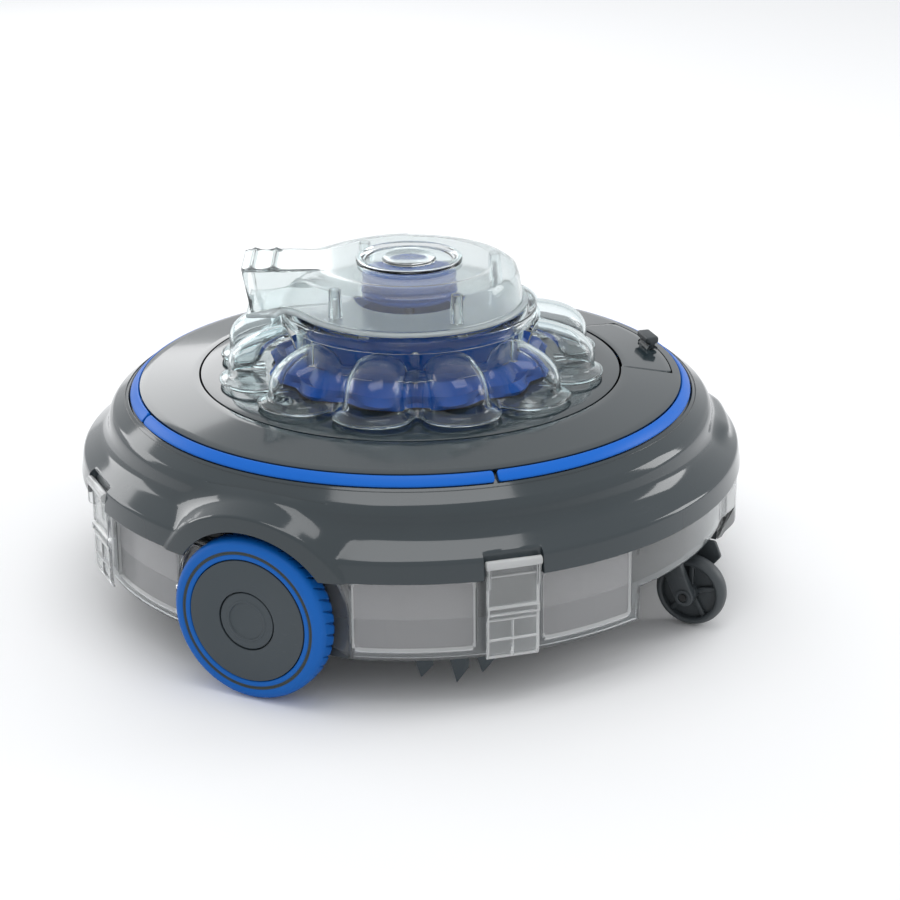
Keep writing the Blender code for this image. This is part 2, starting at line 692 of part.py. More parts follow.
def bulkhead():
    plate = turned("bulkhead", ring_profile(BIN_R + 0.0005, BULKHEAD_EYE_R, BULKHEAD_Z, FLOOR_Z), LARGE)
    cut(plate, *[wheel_bay(f"bulkhead_bay_{side}", side, CLEARANCE, BAY_Y - CLEARANCE) for side in (-1, 1)])
    finish(plate, "bulkhead", DARK)

    low = TRAY_Z + WALL + 0.0060
    top = BULKHEAD_Z - CLEARANCE
    inner = SCREEN_R - SCREEN_T
    screen = turned("screen", [(SCREEN_R, top), (SCREEN_R, low), (0, low), (0, low + SCREEN_T),
                               (inner, low + SCREEN_T), (inner, top)], MEDIUM)
    for k in range(SCREEN_SLOTS):
        slot = box(f"screen_slot_{k}", (inner - 0.003, -0.0120, low + 0.0080),
                   (SCREEN_R + 0.005, 0.0120, top - 0.0080))
        slot.matrix_world = turned_to(360 * k / SCREEN_SLOTS)
        cut(screen, slot)
    finish(screen, "filter_screen", CLEAR)


def latches():
    drop = LATCH_Z - LATCH_FOOT_Z
    half = LATCH_W / 2
    back = -LATCH_BAR_R + 0.0002
    front = LATCH_T - LATCH_BAR_R
    for i, angle in enumerate(LATCH_ANGLES):
        hinge = Matrix.Translation(polar(LATCH_R, angle, LATCH_Z)) @ turned_to(angle)
        plate = box("latch", (back, -half, -drop), (front, half, -0.001))
        bar = rods(f"latch_bar_{i}", [(0, 0)], LATCH_BAR_R, -half - 0.0011, half + 0.0011)
        bar.matrix_world = hinge @ AXLE_LINE
        ridge = box(f"latch_ridge_{i}", (-0.0004, -half, -0.0330), (front + 0.0020, half, -0.0260))
        ridge.matrix_world = hinge
        foot = box(f"latch_foot_{i}", (back, -half, -drop), (front + 0.0014, half, -drop + 0.0030))
        foot.matrix_world = hinge
        add(plate, bar, ridge, foot)
        place(finish(plate, f"latch_{i + 1}", CLEAR), hinge, empty(f"latch_axis_{i + 1}", hinge))


# ---- pump
PUMP_Z = SEAM_Z + PLATE_RISE + CLEARANCE


def pump_housing():
    top = COLLAR_Z - 0.0010
    shoulder = SHELF_Z - CLEARANCE
    housing = turned("housing", [(TUBE_R - 0.0046, top), (TUBE_R - 0.0030, shoulder),
                                 (TUBE_R + 0.0040, shoulder), (0.0925, PUMP_Z + 0.0060), (0.0975, PUMP_Z),
                                 (INLET_R, PUMP_Z), (INLET_R, top)], MEDIUM)
    finish(housing, "pump_housing", BLUE)


def lobed_cover():
    # (radius, height above the foot), at a lobe's middle and in the hollow between two lobes
    foot = PUMP_Z + BORE_GAP
    top_r = COLLAR_R + 0.0029
    crest = [(0.1195, 0), (0.1195, 0.0024), (0.1113, 0.0080), (0.1118, 0.0130), (0.1088, 0.0210),
             (0.1003, 0.0290), (0.0885, 0.0365), (top_r, 0.0385)]
    hollow = [(0.1040, 0), (0.1040, 0.0024), (0.0985, 0.0080), (0.0940, 0.0130), (0.0895, 0.0210),
              (0.0850, 0.0290), (top_r + 0.0010, 0.0360), (top_r, 0.0385)]
    crest = [(radius, foot + height) for radius, height in crest]
    hollow = [(radius, foot + height) for radius, height in hollow]
    finish(lobed_loft("cover", crest, hollow, COVER_WALL, LOBE_STEPS), "lobed_cover", CLEAR)


def swivel_collar():
    inner = TUBE_R - TUBE_T
    collar = turned("collar", [(COLLAR_R, COLLAR_TOP), (COLLAR_R, COLLAR_Z), (TUBE_R, COLLAR_Z),
                               (TUBE_R, SHELF_Z), (inner, SHELF_Z), (inner, COLLAR_TOP)], LARGE)
    first = LOBE_ANGLE + 180 / LOBES
    spots = [polar(TUBE_R + POST_R / 2, first + 360 * k / POSTS) for k in range(POSTS)]
    add(collar, rods("posts", spots, POST_R, SHELF_Z, COLLAR_Z + 0.0010, 12))
    finish(collar, "swivel_collar", CLEAR)


def block(name, size, y, low):
    length, width, height = size
    return box(name, (-length / 2, y - width / 2, low), (length / 2, y + width / 2, low + height))


def drive_unit():
    # motor, its seal, the battery and the board, all standing on the bulkhead
    bore = SHAFT_R + CLEARANCE
    can_low, can_top = FLOOR_Z + 0.0040, SHELF_Z - 0.0050
    can = turned("can", ring_profile(MOTOR_R, bore, can_low, can_top), MEDIUM)
    finish(can, "motor_can", STEEL)
    seal = turned("seal", ring_profile(SEAL_R, bore, can_top + CLEARANCE, can_top + 0.0060), SMALL)
    finish(seal, "shaft_seal", BLACK)

    seat = FLOOR_Z + CLEARANCE
    finish(block("battery", BATTERY, BAY_CENTRE, seat), "battery_pack", BLUE)
    finish(block("carrier", CARRIER, -BAY_CENTRE, seat), "board_carrier", DARK)
    finish(block("board", BOARD, -BAY_CENTRE, seat + CARRIER[2] + CLEARANCE), "control_board", BOARD_GREEN)


def spout_outline(reach, inset):
    # the nozzle in plan, along local +X, from the drum's middle to the mouth
    root = NOZZLE_ROOT_W / 2 + NOZZLE_SPREAD - inset
    mouth = NOZZLE_W / 2 - inset
    return [(0, NOZZLE_SHIFT + root), (0, NOZZLE_SHIFT - root), (reach, NOZZLE_SHIFT - mouth),
            (reach, NOZZLE_SHIFT + mouth)]


def flange_outline():
    # drum and nozzle in plan, grown by the lip
    half = NOZZLE_W / 2 + FLANGE_LIP
    reach = NOZZLE_L + FLANGE_LIP
    radius = VOLUTE_R + FLANGE_LIP
    start = math.degrees(math.asin((NOZZLE_ROOT_W / 2 + FLANGE_LIP) / radius)) + 3
    back = arc(radius, start, 360 - start, LARGE)
    return [(reach, NOZZLE_SHIFT + half)] + back + [(reach, NOZZLE_SHIFT - half)]


def lifted(obj, low, high):
    # an outline that was drawn about its own middle plane, raised to lie between two heights
    obj.data.transform(Matrix.Translation((0, 0, (low + high) / 2)))
    return obj


def volute():
    axis = turned_to(NOZZLE_ANGLE)
    pivot = empty("nozzle_axis", axis)
    flange_low = COLLAR_TOP + CLEARANCE
    flange_top = flange_low + FLANGE_T
    base = lifted(flat_outline("flange", flange_outline(), FLANGE_T), flange_low, flange_top)
    eye = rods("eye", [(0, 0)], INLET_R, flange_low - PAST, flange_top + PAST, MEDIUM)
    screw_spots = [polar(SCREW_CIRCLE, angle) for angle in SCREW_ANGLES]
    hole_top = flange_low + SCREW_L + 0.0006
    holes = rods("screw_holes", screw_spots, SCREW_R + BORE_GAP, flange_low - PAST, hole_top, 12)
    cut(base, eye, holes)
    place(finish(base, "volute_base", CLEAR), axis, pivot)

    low = flange_top + CLEARANCE
    wall = VOLUTE_WALL
    ceiling = VOLUTE_TOP - wall
    flat_r = VOLUTE_R - VOLUTE_EDGE
    side_r = VOLUTE_R - 0.0035
    drum = solid_of_turn("volute", [(0, VOLUTE_TOP), (flat_r, VOLUTE_TOP), (side_r, VOLUTE_TOP - 0.0045),
                                    (VOLUTE_R, low), (0, low)], LARGE)
    spout = lifted(flat_outline("spout", spout_outline(NOZZLE_L, 0.0), VOLUTE_TOP - low), low, VOLUTE_TOP)
    spout.matrix_world = axis
    add(drum, spout)
    room = solid_of_turn("volute_room", [(0, ceiling), (flat_r - 0.0010, ceiling),
                                         (side_r - wall, VOLUTE_TOP - 0.0060), (VOLUTE_R - wall, low - PAST),
                                         (0, low - PAST)], LARGE)
    duct = flat_outline("duct", spout_outline(NOZZLE_L + PAST, wall), ceiling - low + PAST)
    lifted(duct, low - PAST, ceiling).matrix_world = axis
    add(room, duct)
    cut(room, rods("bosses", screw_spots, BOSS_R, low + 0.0001, VOLUTE_TOP - 0.0010, 12))
    sight = rods("sight_hole", [(0, 0)], WINDOW_R - WINDOW_LEDGE, ceiling - PAST, VOLUTE_TOP + PAST, MEDIUM)
    cut(drum, sight, holes, room)
    place(finish(drum, "volute_cover", CLEAR), Matrix.Identity(4), pivot)

    for i, spot in enumerate(screw_spots):
        screw = solid_of_turn("screw", [(0, SCREW_L), (SCREW_R, SCREW_L), (SCREW_R, 0), (SCREW_HEAD_R, 0),
                                        (SCREW_HEAD_R, -0.0020), (0, -0.0020)], 12)
        seat = Matrix.Translation((spot[0], spot[1], flange_low - CLEARANCE))
        place(finish(screw, f"volute_screw_{i + 1}", STEEL), seat, pivot)
    return pivot


def window_cap(pivot):
    # a raised ring round a clear lens, dropped into the hole in the volute's top
    seat = VOLUTE_TOP + CLEARANCE
    lens_r = WINDOW_R - WINDOW_LEDGE - CLEARANCE
    lens_top = seat + 0.0014
    under = seat - VOLUTE_WALL
    profile = [(0, lens_top), (0.0150, lens_top), (0.0160, VOLUTE_TOP), (lens_r - 0.0006, VOLUTE_TOP),
               (WINDOW_R - 0.0045, WINDOW_TOP), (WINDOW_R - 0.0020, WINDOW_TOP),
               (WINDOW_R, WINDOW_TOP - 0.0010), (WINDOW_R, seat), (lens_r, seat), (lens_r, under), (0, under)]
    window = solid_of_turn("window", profile, MEDIUM)
    place(finish(window, "window_cap", CLEAR), Matrix.Identity(4), pivot)


def rotor():
    spin = empty("impeller_axis", Matrix.Identity(4))
    top = VOLUTE_TOP - 2 * VOLUTE_WALL - 0.0020
    low = COLLAR_TOP + FLANGE_T + 2 * CLEARANCE + 0.0010
    bore = SHAFT_R + CLEARANCE
    hub = turned("impeller", ring_profile(IMPELLER_R - 0.0060, bore, low, top), MEDIUM)
    for k in range(BLADES):
        blade = box(f"vane_{k}", (IMPELLER_R - 0.0110, -BLADE_T / 2, low), (IMPELLER_R, BLADE_T / 2, top))
        blade.matrix_world = turned_to(360 * k / BLADES)
        add(hub, blade)
    place(finish(hub, "impeller", BLUE), Matrix.Identity(4), spin)
    shaft = rods("shaft", [(0, 0)], SHAFT_R, FLOOR_Z + 0.0102, top - 0.0020, SMALL)
    place(finish(shaft, "motor_shaft", STEEL), Matrix.Identity(4), spin)


base_tray()
clear_bin()
bin_gaskets()
for wheel_side, wheel_tag in ((-1, "right"), (1, "left")):
    drive_wheel(wheel_side, wheel_tag)
for way, way_tag in ((1, "front"), (-1, "rear")):
    caster(way, way_tag)
    inlet_flap(way, way_tag)
floor_fins()
top_shell()
band_segments()
deck()
carry_handle()
bulkhead()
latches()
pump_housing()
lobed_cover()
swivel_collar()
drive_unit()
window_cap(volute())
rotor()
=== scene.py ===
# Robotic pool cleaner with a swivelling jet nozzle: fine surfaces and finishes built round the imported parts.
# All sizes are in metres. Plan angles are in degrees, from -Y round towards +X.
import math

import bmesh
import bpy
import numpy as np
from mathutils import Matrix, Vector


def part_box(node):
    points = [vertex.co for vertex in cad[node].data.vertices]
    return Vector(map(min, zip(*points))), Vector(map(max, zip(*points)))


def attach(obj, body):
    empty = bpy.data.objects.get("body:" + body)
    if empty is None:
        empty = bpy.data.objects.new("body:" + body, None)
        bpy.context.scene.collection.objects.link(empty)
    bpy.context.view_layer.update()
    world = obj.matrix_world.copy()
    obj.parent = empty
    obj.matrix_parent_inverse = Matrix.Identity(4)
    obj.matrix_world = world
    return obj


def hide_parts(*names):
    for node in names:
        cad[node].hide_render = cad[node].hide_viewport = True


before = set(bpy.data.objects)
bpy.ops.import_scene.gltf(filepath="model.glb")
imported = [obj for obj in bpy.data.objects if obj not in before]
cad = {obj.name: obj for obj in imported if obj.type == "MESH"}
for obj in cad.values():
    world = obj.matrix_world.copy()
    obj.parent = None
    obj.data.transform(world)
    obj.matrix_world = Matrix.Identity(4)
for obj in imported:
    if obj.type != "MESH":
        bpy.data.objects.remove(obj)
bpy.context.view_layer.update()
scene = bpy.context.scene
print("frame loaded:", len(cad), "parts")

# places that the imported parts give
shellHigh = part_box("top_shell")[1]
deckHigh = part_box("deck_ring")[1]
plateLow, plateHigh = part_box("centre_plate")
binLow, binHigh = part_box("clear_bin")
tyreLow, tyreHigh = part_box("right_tyre")
collarLow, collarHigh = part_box("swivel_collar")
voluteLow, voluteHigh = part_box("volute_cover")
rimR = shellHigh.x                       # widest round edge of the shell
rimZ = binHigh.z - .0040
bandR = rimR - .0313                     # outer edge of the blue band
bandZ = rimZ + .0455
wheelR = (tyreHigh.x - tyreLow.x) / 2
axleZ = tyreLow.z + wheelR
faceY = -tyreLow.y                       # the wheels' outer faces
latchAngles = (43.5, 139.5, 223.5, 319.5)
standing = Matrix(((1, 0, 0, 0), (0, 0, 1, 0), (0, 1, 0, 0), (0, 0, 0, 1)))       # swaps Y and Z


# shape helpers
def ease(x):
    # smooth step from 0 to 1
    x = np.clip(x, 0, 1)
    return x * x * (3 - 2 * x)


def softMin(a, b, k):
    # the lesser of two fields, with the crease between them rounded over k
    h = np.clip(.5 + .5 * (b - a) / k, 0, 1)
    return b + (a - b) * h - k * h * (1 - h)


def softMax(a, b, k):
    return -softMin(-a, -b, k)


def rounded(points, radius, steps=4, closed=False):
    # each corner becomes the curve (1-t)^2 A + 2t(1-t) corner + t^2 B between points on its two sides
    p = np.array(points, float)
    count = len(p)
    radius = np.broadcast_to(radius, count)
    t = np.linspace(0, 1, steps + 1)[:, None]
    out = []
    for i in range(count):
        if not closed and i in (0, count - 1):
            out.append(p[i:i + 1])
            continue
        before, after = p[i - 1] - p[i], p[(i + 1) % count] - p[i]
        lengthB, lengthA = np.linalg.norm(before), np.linalg.norm(after)
        r = min(radius[i], .48 * lengthB, .48 * lengthA)
        a, b = p[i] + before / lengthB * r, p[i] + after / lengthA * r
        out.append((1 - t) ** 2 * a + 2 * t * (1 - t) * p[i] + t ** 2 * b)
    return np.concatenate(out)


def spaced(points, step):
    # the same polyline with no stretch longer than step
    p = np.array(points, float)
    parts = [p[:1]]
    for a, b in zip(p[:-1], p[1:]):
        n = max(1, int(np.ceil(np.linalg.norm(b - a) / step)))
        parts.append(a + (b - a) * (np.arange(1, n + 1) / n)[:, None])
    return np.concatenate(parts)


def smoothRows(table, count):
    # Catmull-Rom curve through the table's rows, read at count even steps
    p = np.array(table, float)
    p = np.concatenate([2 * p[:1] - p[1:2], p, 2 * p[-1:] - p[-2:-1]])
    u = np.linspace(0, len(table) - 1, count)
    i = np.minimum(u.astype(int), len(table) - 2)
    t = (u - i)[:, None]
    a, b, c, d = p[i], p[i + 1], p[i + 2], p[i + 3]
    square, cube = 2 * a - 5 * b + 4 * c - d, 3 * b - a - 3 * c + d
    return .5 * (2 * b + (c - a) * t + square * t ** 2 + cube * t ** 3)


def around(radius, angle, z):
    # points at plan angles in degrees; the three broadcast together
    a = np.radians(angle)
    radius, a, z = np.broadcast_arrays(radius, a, z)
    return np.stack([radius * np.sin(a), -radius * np.cos(a), z], -1)


def grid(points, wrapU=False, wrapV=False, keep=None):
    # a quad between each four neighbours of the point grid
    rows, cols = points.shape[:2]
    i = np.arange(rows - (not wrapU))[:, None]
    j = np.arange(cols - (not wrapV))[None]
    nextI, nextJ = (i + 1) % rows, (j + 1) % cols
    corners = [i * cols + j, i * cols + nextJ, nextI * cols + nextJ, nextI * cols + j]
    quads = np.stack(np.broadcast_arrays(*corners), -1)
    if keep is not None:
        quads = quads[keep]
    return points.reshape(-1, 3), quads.reshape(-1, 4)


def turnedRing(profile, segments):
    # a closed profile of (radius, height) carried round Z
    profile = np.array(profile, float)
    angle = 360 * np.arange(segments) / segments
    points = around(profile[:, 0][:, None], angle[None], profile[:, 1][:, None])
    return grid(points, wrapU=True, wrapV=True)


def moved(part, matrix):
    points, quads = part
    m = np.array(matrix)
    return points @ m[:3, :3].T + m[:3, 3], quads


def prism(outline, low, high, edge, steps=3):
    # a closed outline in XY, raised from low to high, its ends rounded over by edge and closed
    p = np.array(outline, float)
    centre = p.mean(0)
    t = np.linspace(0, np.pi / 2, steps + 1)
    inset = np.concatenate([edge * (1 - np.sin(t)), edge * (1 - np.cos(t[1:]))])
    z = np.concatenate([low + edge * (1 - np.cos(t)), high - edge * (1 - np.sin(t[1:]))])
    ahead, behind = np.roll(p, -1, 0) - p, p - np.roll(p, 1, 0)
    along = ahead / np.linalg.norm(ahead, axis=1)[:, None] + behind / np.linalg.norm(behind, axis=1)[:, None]
    along /= np.maximum(np.linalg.norm(along, axis=1), 1e-9)[:, None]
    inward = np.stack([-along[:, 1], along[:, 0]], -1)
    area = np.sum(p[:, 0] * np.roll(p[:, 1], -1) - np.roll(p[:, 0], -1) * p[:, 1])
    inward *= np.sign(area)
    ringRows = p[None] + inward[None] * inset[:, None, None]
    ringRows = np.concatenate([ringRows[:1] * 0 + centre, ringRows, ringRows[:1] * 0 + centre])
    z = np.concatenate([[low], z, [high]])
    points = np.concatenate([ringRows, np.broadcast_to(z[:, None, None], ringRows.shape[:2] + (1,))], -1)
    return grid(points, wrapV=True)


def circle(radius, count, centre=(0, 0)):
    a = 2 * np.pi * np.arange(count) / count
    return np.stack([centre[0] + radius * np.cos(a), centre[1] + radius * np.sin(a)], -1)


def mirroredY(part):
    points, quads = part
    return points * (1, -1, 1), quads[:, ::-1]


def cap(loop):
    # closes a loop of points onto its middle
    rows = np.stack([loop, np.broadcast_to(loop.mean(0), loop.shape)])
    return grid(rows, wrapV=True)


def build(name, parts, body, looks, replaces=None, wall=0.0, sharp=38, faceLooks=None):
    # joins the parts into one piece, closes its seams and poles, and hands it to its body
    points = np.concatenate([p for p, _ in parts])
    offsets = np.cumsum([0] + [len(p) for p, _ in parts[:-1]])
    quads = np.concatenate([q + o for (_, q), o in zip(parts, offsets)])
    mesh = bpy.data.meshes.new(name)
    mesh.from_pydata(points.tolist(), [], quads.tolist())
    for look in looks if isinstance(looks, list) else [looks]:
        mesh.materials.append(look)
    if faceLooks is not None:
        mesh.polygons.foreach_set("material_index", np.asarray(faceLooks, np.int32))
    bm = bmesh.new()
    bm.from_mesh(mesh)
    bmesh.ops.remove_doubles(bm, verts=bm.verts, dist=2e-6)
    bmesh.ops.dissolve_degenerate(bm, dist=1e-7, edges=bm.edges)
    bmesh.ops.recalc_face_normals(bm, faces=bm.faces)
    bm.to_mesh(mesh)
    bm.free()
    obj = bpy.data.objects.new(name, mesh)
    scene.collection.objects.link(obj)
    mesh.shade_smooth()
    mesh.set_sharp_from_angle(angle=math.radians(sharp))
    if wall:
        mod = obj.modifiers.new("wall", 'SOLIDIFY')
        mod.thickness = wall
        mod.offset = -1
    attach(obj, body)
    if replaces:
        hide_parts(replaces)


# finishes
def nodeGroup(name, inputs, outputs):
    made = bpy.data.node_groups.new(name, 'ShaderNodeTree')
    for label, kind, value in inputs:
        socket = made.interface.new_socket(label, in_out='INPUT', socket_type=kind)
        if value is not None:
            socket.default_value = value
    for label, kind in outputs:
        made.interface.new_socket(label, in_out='OUTPUT', socket_type=kind)
    return made


class Net:
    # short calls for adding and linking nodes in one tree
    def __init__(self, tree):
        self.tree = tree

    def add(self, kind, settings=None, **values):
        node = self.tree.nodes.new(kind)
        for key, value in (settings or {}).items():
            setattr(node, key, value)
        for key, value in values.items():
            self.feed(node.inputs[key.replace("_", " ")], value)
        return node

    def feed(self, socket, value):
        if isinstance(value, bpy.types.NodeSocket):
            self.tree.links.new(value, socket)
        else:
            socket.default_value = value

    def math(self, operation, a, b=0.0):
        node = self.add('ShaderNodeMath', {"operation": operation})
        self.feed(node.inputs[0], a)
        self.feed(node.inputs[1], b)
        return node.outputs[0]

    def mix(self, factor, a, b):
        node = self.add('ShaderNodeMix', {"data_type": 'RGBA'})
        self.feed(node.inputs[0], factor)
        self.feed(node.inputs[6], a)
        self.feed(node.inputs[7], b)
        return node.outputs[2]

    def ramp(self, value, low, high):
        node = self.add('ShaderNodeMapRange', {"interpolation_type": 'SMOOTHSTEP'})
        self.feed(node.inputs["Value"], value)
        node.inputs["From Min"].default_value = low
        node.inputs["From Max"].default_value = high
        return node.outputs["Result"]


def mouldedGroup():
    # colour drift, faint scuffs and a fine moulded grain
    group = nodeGroup("mouldedSurface", [
        ("Vector", 'NodeSocketVector', None), ("Colour", 'NodeSocketColor', (.5, .5, .5, 1)),
        ("Worn Colour", 'NodeSocketColor', (.6, .6, .6, 1)), ("Roughness", 'NodeSocketFloat', .3),
        ("Scuffs", 'NodeSocketFloat', .2), ("Grain Scale", 'NodeSocketFloat', 900.0),
        ("Grain", 'NodeSocketFloat', .2)],
        [("Colour", 'NodeSocketColor'), ("Roughness", 'NodeSocketFloat'), ("Height", 'NodeSocketFloat')])
    net = Net(group)
    given = net.add('NodeGroupInput').outputs
    drift = net.add('ShaderNodeTexNoise', Vector=given["Vector"], Scale=9.0, Detail=3.0).outputs[0]
    stretched = net.add('ShaderNodeMapping', Vector=given["Vector"], Scale=(1.0, .25, 2.2)).outputs[0]
    streak = net.add('ShaderNodeTexNoise', Vector=stretched, Scale=160.0, Detail=4.0, Roughness=.7).outputs[0]
    grain = net.add('ShaderNodeTexNoise', Vector=given["Vector"], Scale=given["Grain Scale"],
                    Detail=2.0).outputs[0]
    scuff = net.math('MULTIPLY', net.ramp(streak, .58, .78), net.ramp(drift, .45, .7))
    worn = net.math('MULTIPLY', scuff, given["Scuffs"])
    tone = net.math('MULTIPLY', net.ramp(drift, .3, .7), .12)
    colour = net.mix(net.math('ADD', worn, tone), given["Colour"], given["Worn Colour"])
    rough = net.math('ADD', given["Roughness"], net.math('MULTIPLY', worn, .25))
    rough = net.math('ADD', rough, net.math('MULTIPLY', net.math('SUBTRACT', drift, .5), .06))
    height = net.math('MULTIPLY', grain, given["Grain"])
    out = net.add('NodeGroupOutput')
    net.feed(out.inputs["Colour"], colour)
    net.feed(out.inputs["Roughness"], rough)
    net.feed(out.inputs["Height"], height)
    return group


moulded = mouldedGroup()


def finishOf(name, colour, worn, rough, scuffs=.2, grainScale=900.0, grain=.2, depth=.00004, plain=None):
    # a Principled finish on the moulded surface; plain holds values set on the shader's own sockets
    made = bpy.data.materials.new(name)
    made.use_nodes = True
    net = Net(made.node_tree)
    shader = made.node_tree.nodes["Principled BSDF"]
    place = net.add('ShaderNodeTexCoord').outputs["Object"]
    surface = net.add('ShaderNodeGroup', {"node_tree": moulded})
    for label, value in (("Vector", place), ("Colour", (*colour, 1)), ("Worn Colour", (*worn, 1)),
                         ("Roughness", rough), ("Scuffs", scuffs), ("Grain Scale", grainScale),
                         ("Grain", grain)):
        net.feed(surface.inputs[label], value)
    bump = net.add('ShaderNodeBump', Strength=.6, Distance=depth, Height=surface.outputs["Height"])
    net.feed(shader.inputs["Base Color"], surface.outputs["Colour"])
    net.feed(shader.inputs["Roughness"], surface.outputs["Roughness"])
    net.feed(shader.inputs["Normal"], bump.outputs["Normal"])
    for label, value in (plain or {}).items():
        shader.inputs[label].default_value = value
    return made, net, shader, surface


def clearFinish(name, face, rim, rough, transmission=1.0, bend=1.46):
    # clear moulded plastic, a little deeper in tint where it is seen edge on
    made, net, shader, surface = finishOf(name, face, rim, rough, scuffs=.04, grain=.1, depth=.00002,
                                          plain={"IOR": bend, "Transmission Weight": transmission})
    edge = net.add('ShaderNodeLayerWeight', Blend=.35).outputs["Facing"]
    tint = net.mix(net.ramp(edge, .35, .95), surface.outputs["Colour"], (*rim, 1))
    net.feed(shader.inputs["Base Color"], tint)
    return made


shellGrey = finishOf("shellGrey", (.020, .031, .037), (.07, .08, .09), .11, .2, 1400, .12, .00002,
                     {"IOR": 1.50, "Coat Weight": .2, "Coat Roughness": .04})[0]
charcoal = finishOf("charcoal", (.034, .042, .047), (.10, .11, .12), .42, .35, 1100, .8, .00006)[0]
hubGrey = finishOf("hubGrey", (.034, .047, .056), (.11, .12, .13), .50, .3, 1500, .9, .00006)[0]
blueGloss = finishOf("blueGloss", (.0018, .125, .56), (.02, .18, .60), .38, .2, 1200, .2, .00002,
                     {"Specular IOR Level": .22})[0]
blueInside = finishOf("blueInside", (.0006, .072, .38), (.006, .12, .48), .26, .2, 1200, .2, .00002,
                      {"Specular IOR Level": .18})[0]
blackRubber = finishOf("blackRubber", (.012, .012, .013), (.06, .06, .06), .62, .4, 700, 1.0, .0001)[0]
steel = finishOf("steel", (.60, .60, .61), (.75, .75, .76), .24, .5, 2400, .5, .00002, {"Metallic": 1.0})[0]
boardGreen = finishOf("boardGreen", (.02, .17, .07), (.10, .30, .12), .35, .6, 400, .5, .00005)[0]
clear = clearFinish("clearPlastic", (.95, .975, .98), (.56, .84, .87), .04, 1.0, 1.32)
clearBin = clearFinish("clearBinPlastic", (.90, .92, .93), (.66, .74, .76), .08, .93)
frosted = clearFinish("frostedWindow", (.80, .80, .81), (.66, .67, .69), .24, .72)
latchClear = clearFinish("latchPlastic", (.94, .95, .95), (.74, .78, .79), .14, .9)
hazy = clearFinish("hazyCasing", (.95, .97, .968), (.70, .87, .89), .07, .94, 1.36)
milky = clearFinish("milkyFlange", (.88, .94, .95), (.70, .86, .88), .12, .66)
moulding = clearFinish("mouldedEdge", (.86, .87, .87), (.80, .82, .83), .18, .55)


def tyreFinish():
    # blue rubber with a grey-olive double ring on its face, told apart by distance from the axle
    made, net, shader, surface = finishOf("blueTyre", (.0015, .104, .42), (.02, .16, .50), .50, .35, 1300,
                                          .6, .00006, {"Specular IOR Level": .22})
    place = net.add('ShaderNodeTexCoord').outputs["Object"]
    parts = net.add('ShaderNodeSeparateXYZ', Vector=place).outputs
    up = net.math('SUBTRACT', parts["Z"], axleZ)
    squares = net.math('ADD', net.math('POWER', parts["X"], 2.0), net.math('MULTIPLY', up, up))
    radius = net.math('SQRT', squares)
    ring = net.math('MULTIPLY', net.ramp(radius, .0403, .0405), net.ramp(radius, .0424, .0422))
    outside = net.ramp(net.math('ABSOLUTE', parts["Y"]), faceY - .0016, faceY - .0012)
    shade = net.mix(net.math('MULTIPLY', ring, outside), surface.outputs["Colour"], (.060, .072, .068, 1))
    net.feed(shader.inputs["Base Color"], shade)
    return made


blueTyre = tyreFinish()
print("finishes made")

# lift-off shell
shellSizes = {
    "wall": .0024,
    "lip": .0537,            # arch opening, about the axle
    "face": .0632,           # outer line of the arch's flat face
    "spread": .36,           # how fast the hood widens towards the middle
    "faceR": rimR + .0006,
    "pocketHalf": 4.93,      # degrees
    "pocketR": rimR - .0056,
    "swell": .0046, "swellZ": rimZ + .0232, "swellWidth": .0052,
    "eye": (rimR - .0350, rimZ + .0050),     # the point inside the wall that sections are seen from
    "knee": (rimR - .0186, rimZ + .0350),    # above this the hood no longer reaches
    "step": .0012,
}


def bulge(plan):
    # the fuller quarter behind the right-hand caster
    return ease((plan - 103) / 9) * ease((133 - plan) / 9)


def shellOutline():
    # (radius, height) from the rim's underside up to the groove for the band
    corners = [(rimR - .0020, rimZ), (rimR, rimZ), (rimR - .0017, rimZ + .0125), (rimR - .0168, rimZ + .0238),
               (rimR - .0188, bandZ - .0100), (rimR - .0213, bandZ - .0065),
               (bandR + .0006, bandZ + .0002), (bandR + .0002, bandZ - .0020)]
    radii = [0, .0009, .0016, .0075, .0030, .0012, .0004, 0]
    return spaced(rounded(corners, radii, 7), shellSizes["step"])


def shellColumns():
    # finer round the wheel arches, with a pair of columns at each side of a latch recess
    half = shellSizes["pocketHalf"]
    pairs = [a + s * half + d for a in latchAngles for s in (-1, 1) for d in (-.02, .02)]
    arches = np.concatenate([np.arange(-20, 20, .45), np.arange(160, 200, .45)]) % 360
    lipEdge = np.degrees(np.arcsin(np.sqrt(shellSizes["lip"] ** 2 - (rimZ - axleZ) ** 2) / rimR))
    exact = [lipEdge, 180 - lipEdge, 180 + lipEdge, 360 - lipEdge]
    return np.unique(np.round(np.concatenate([np.arange(0, 360, 1.2), arches, pairs, exact]) % 360, 4))


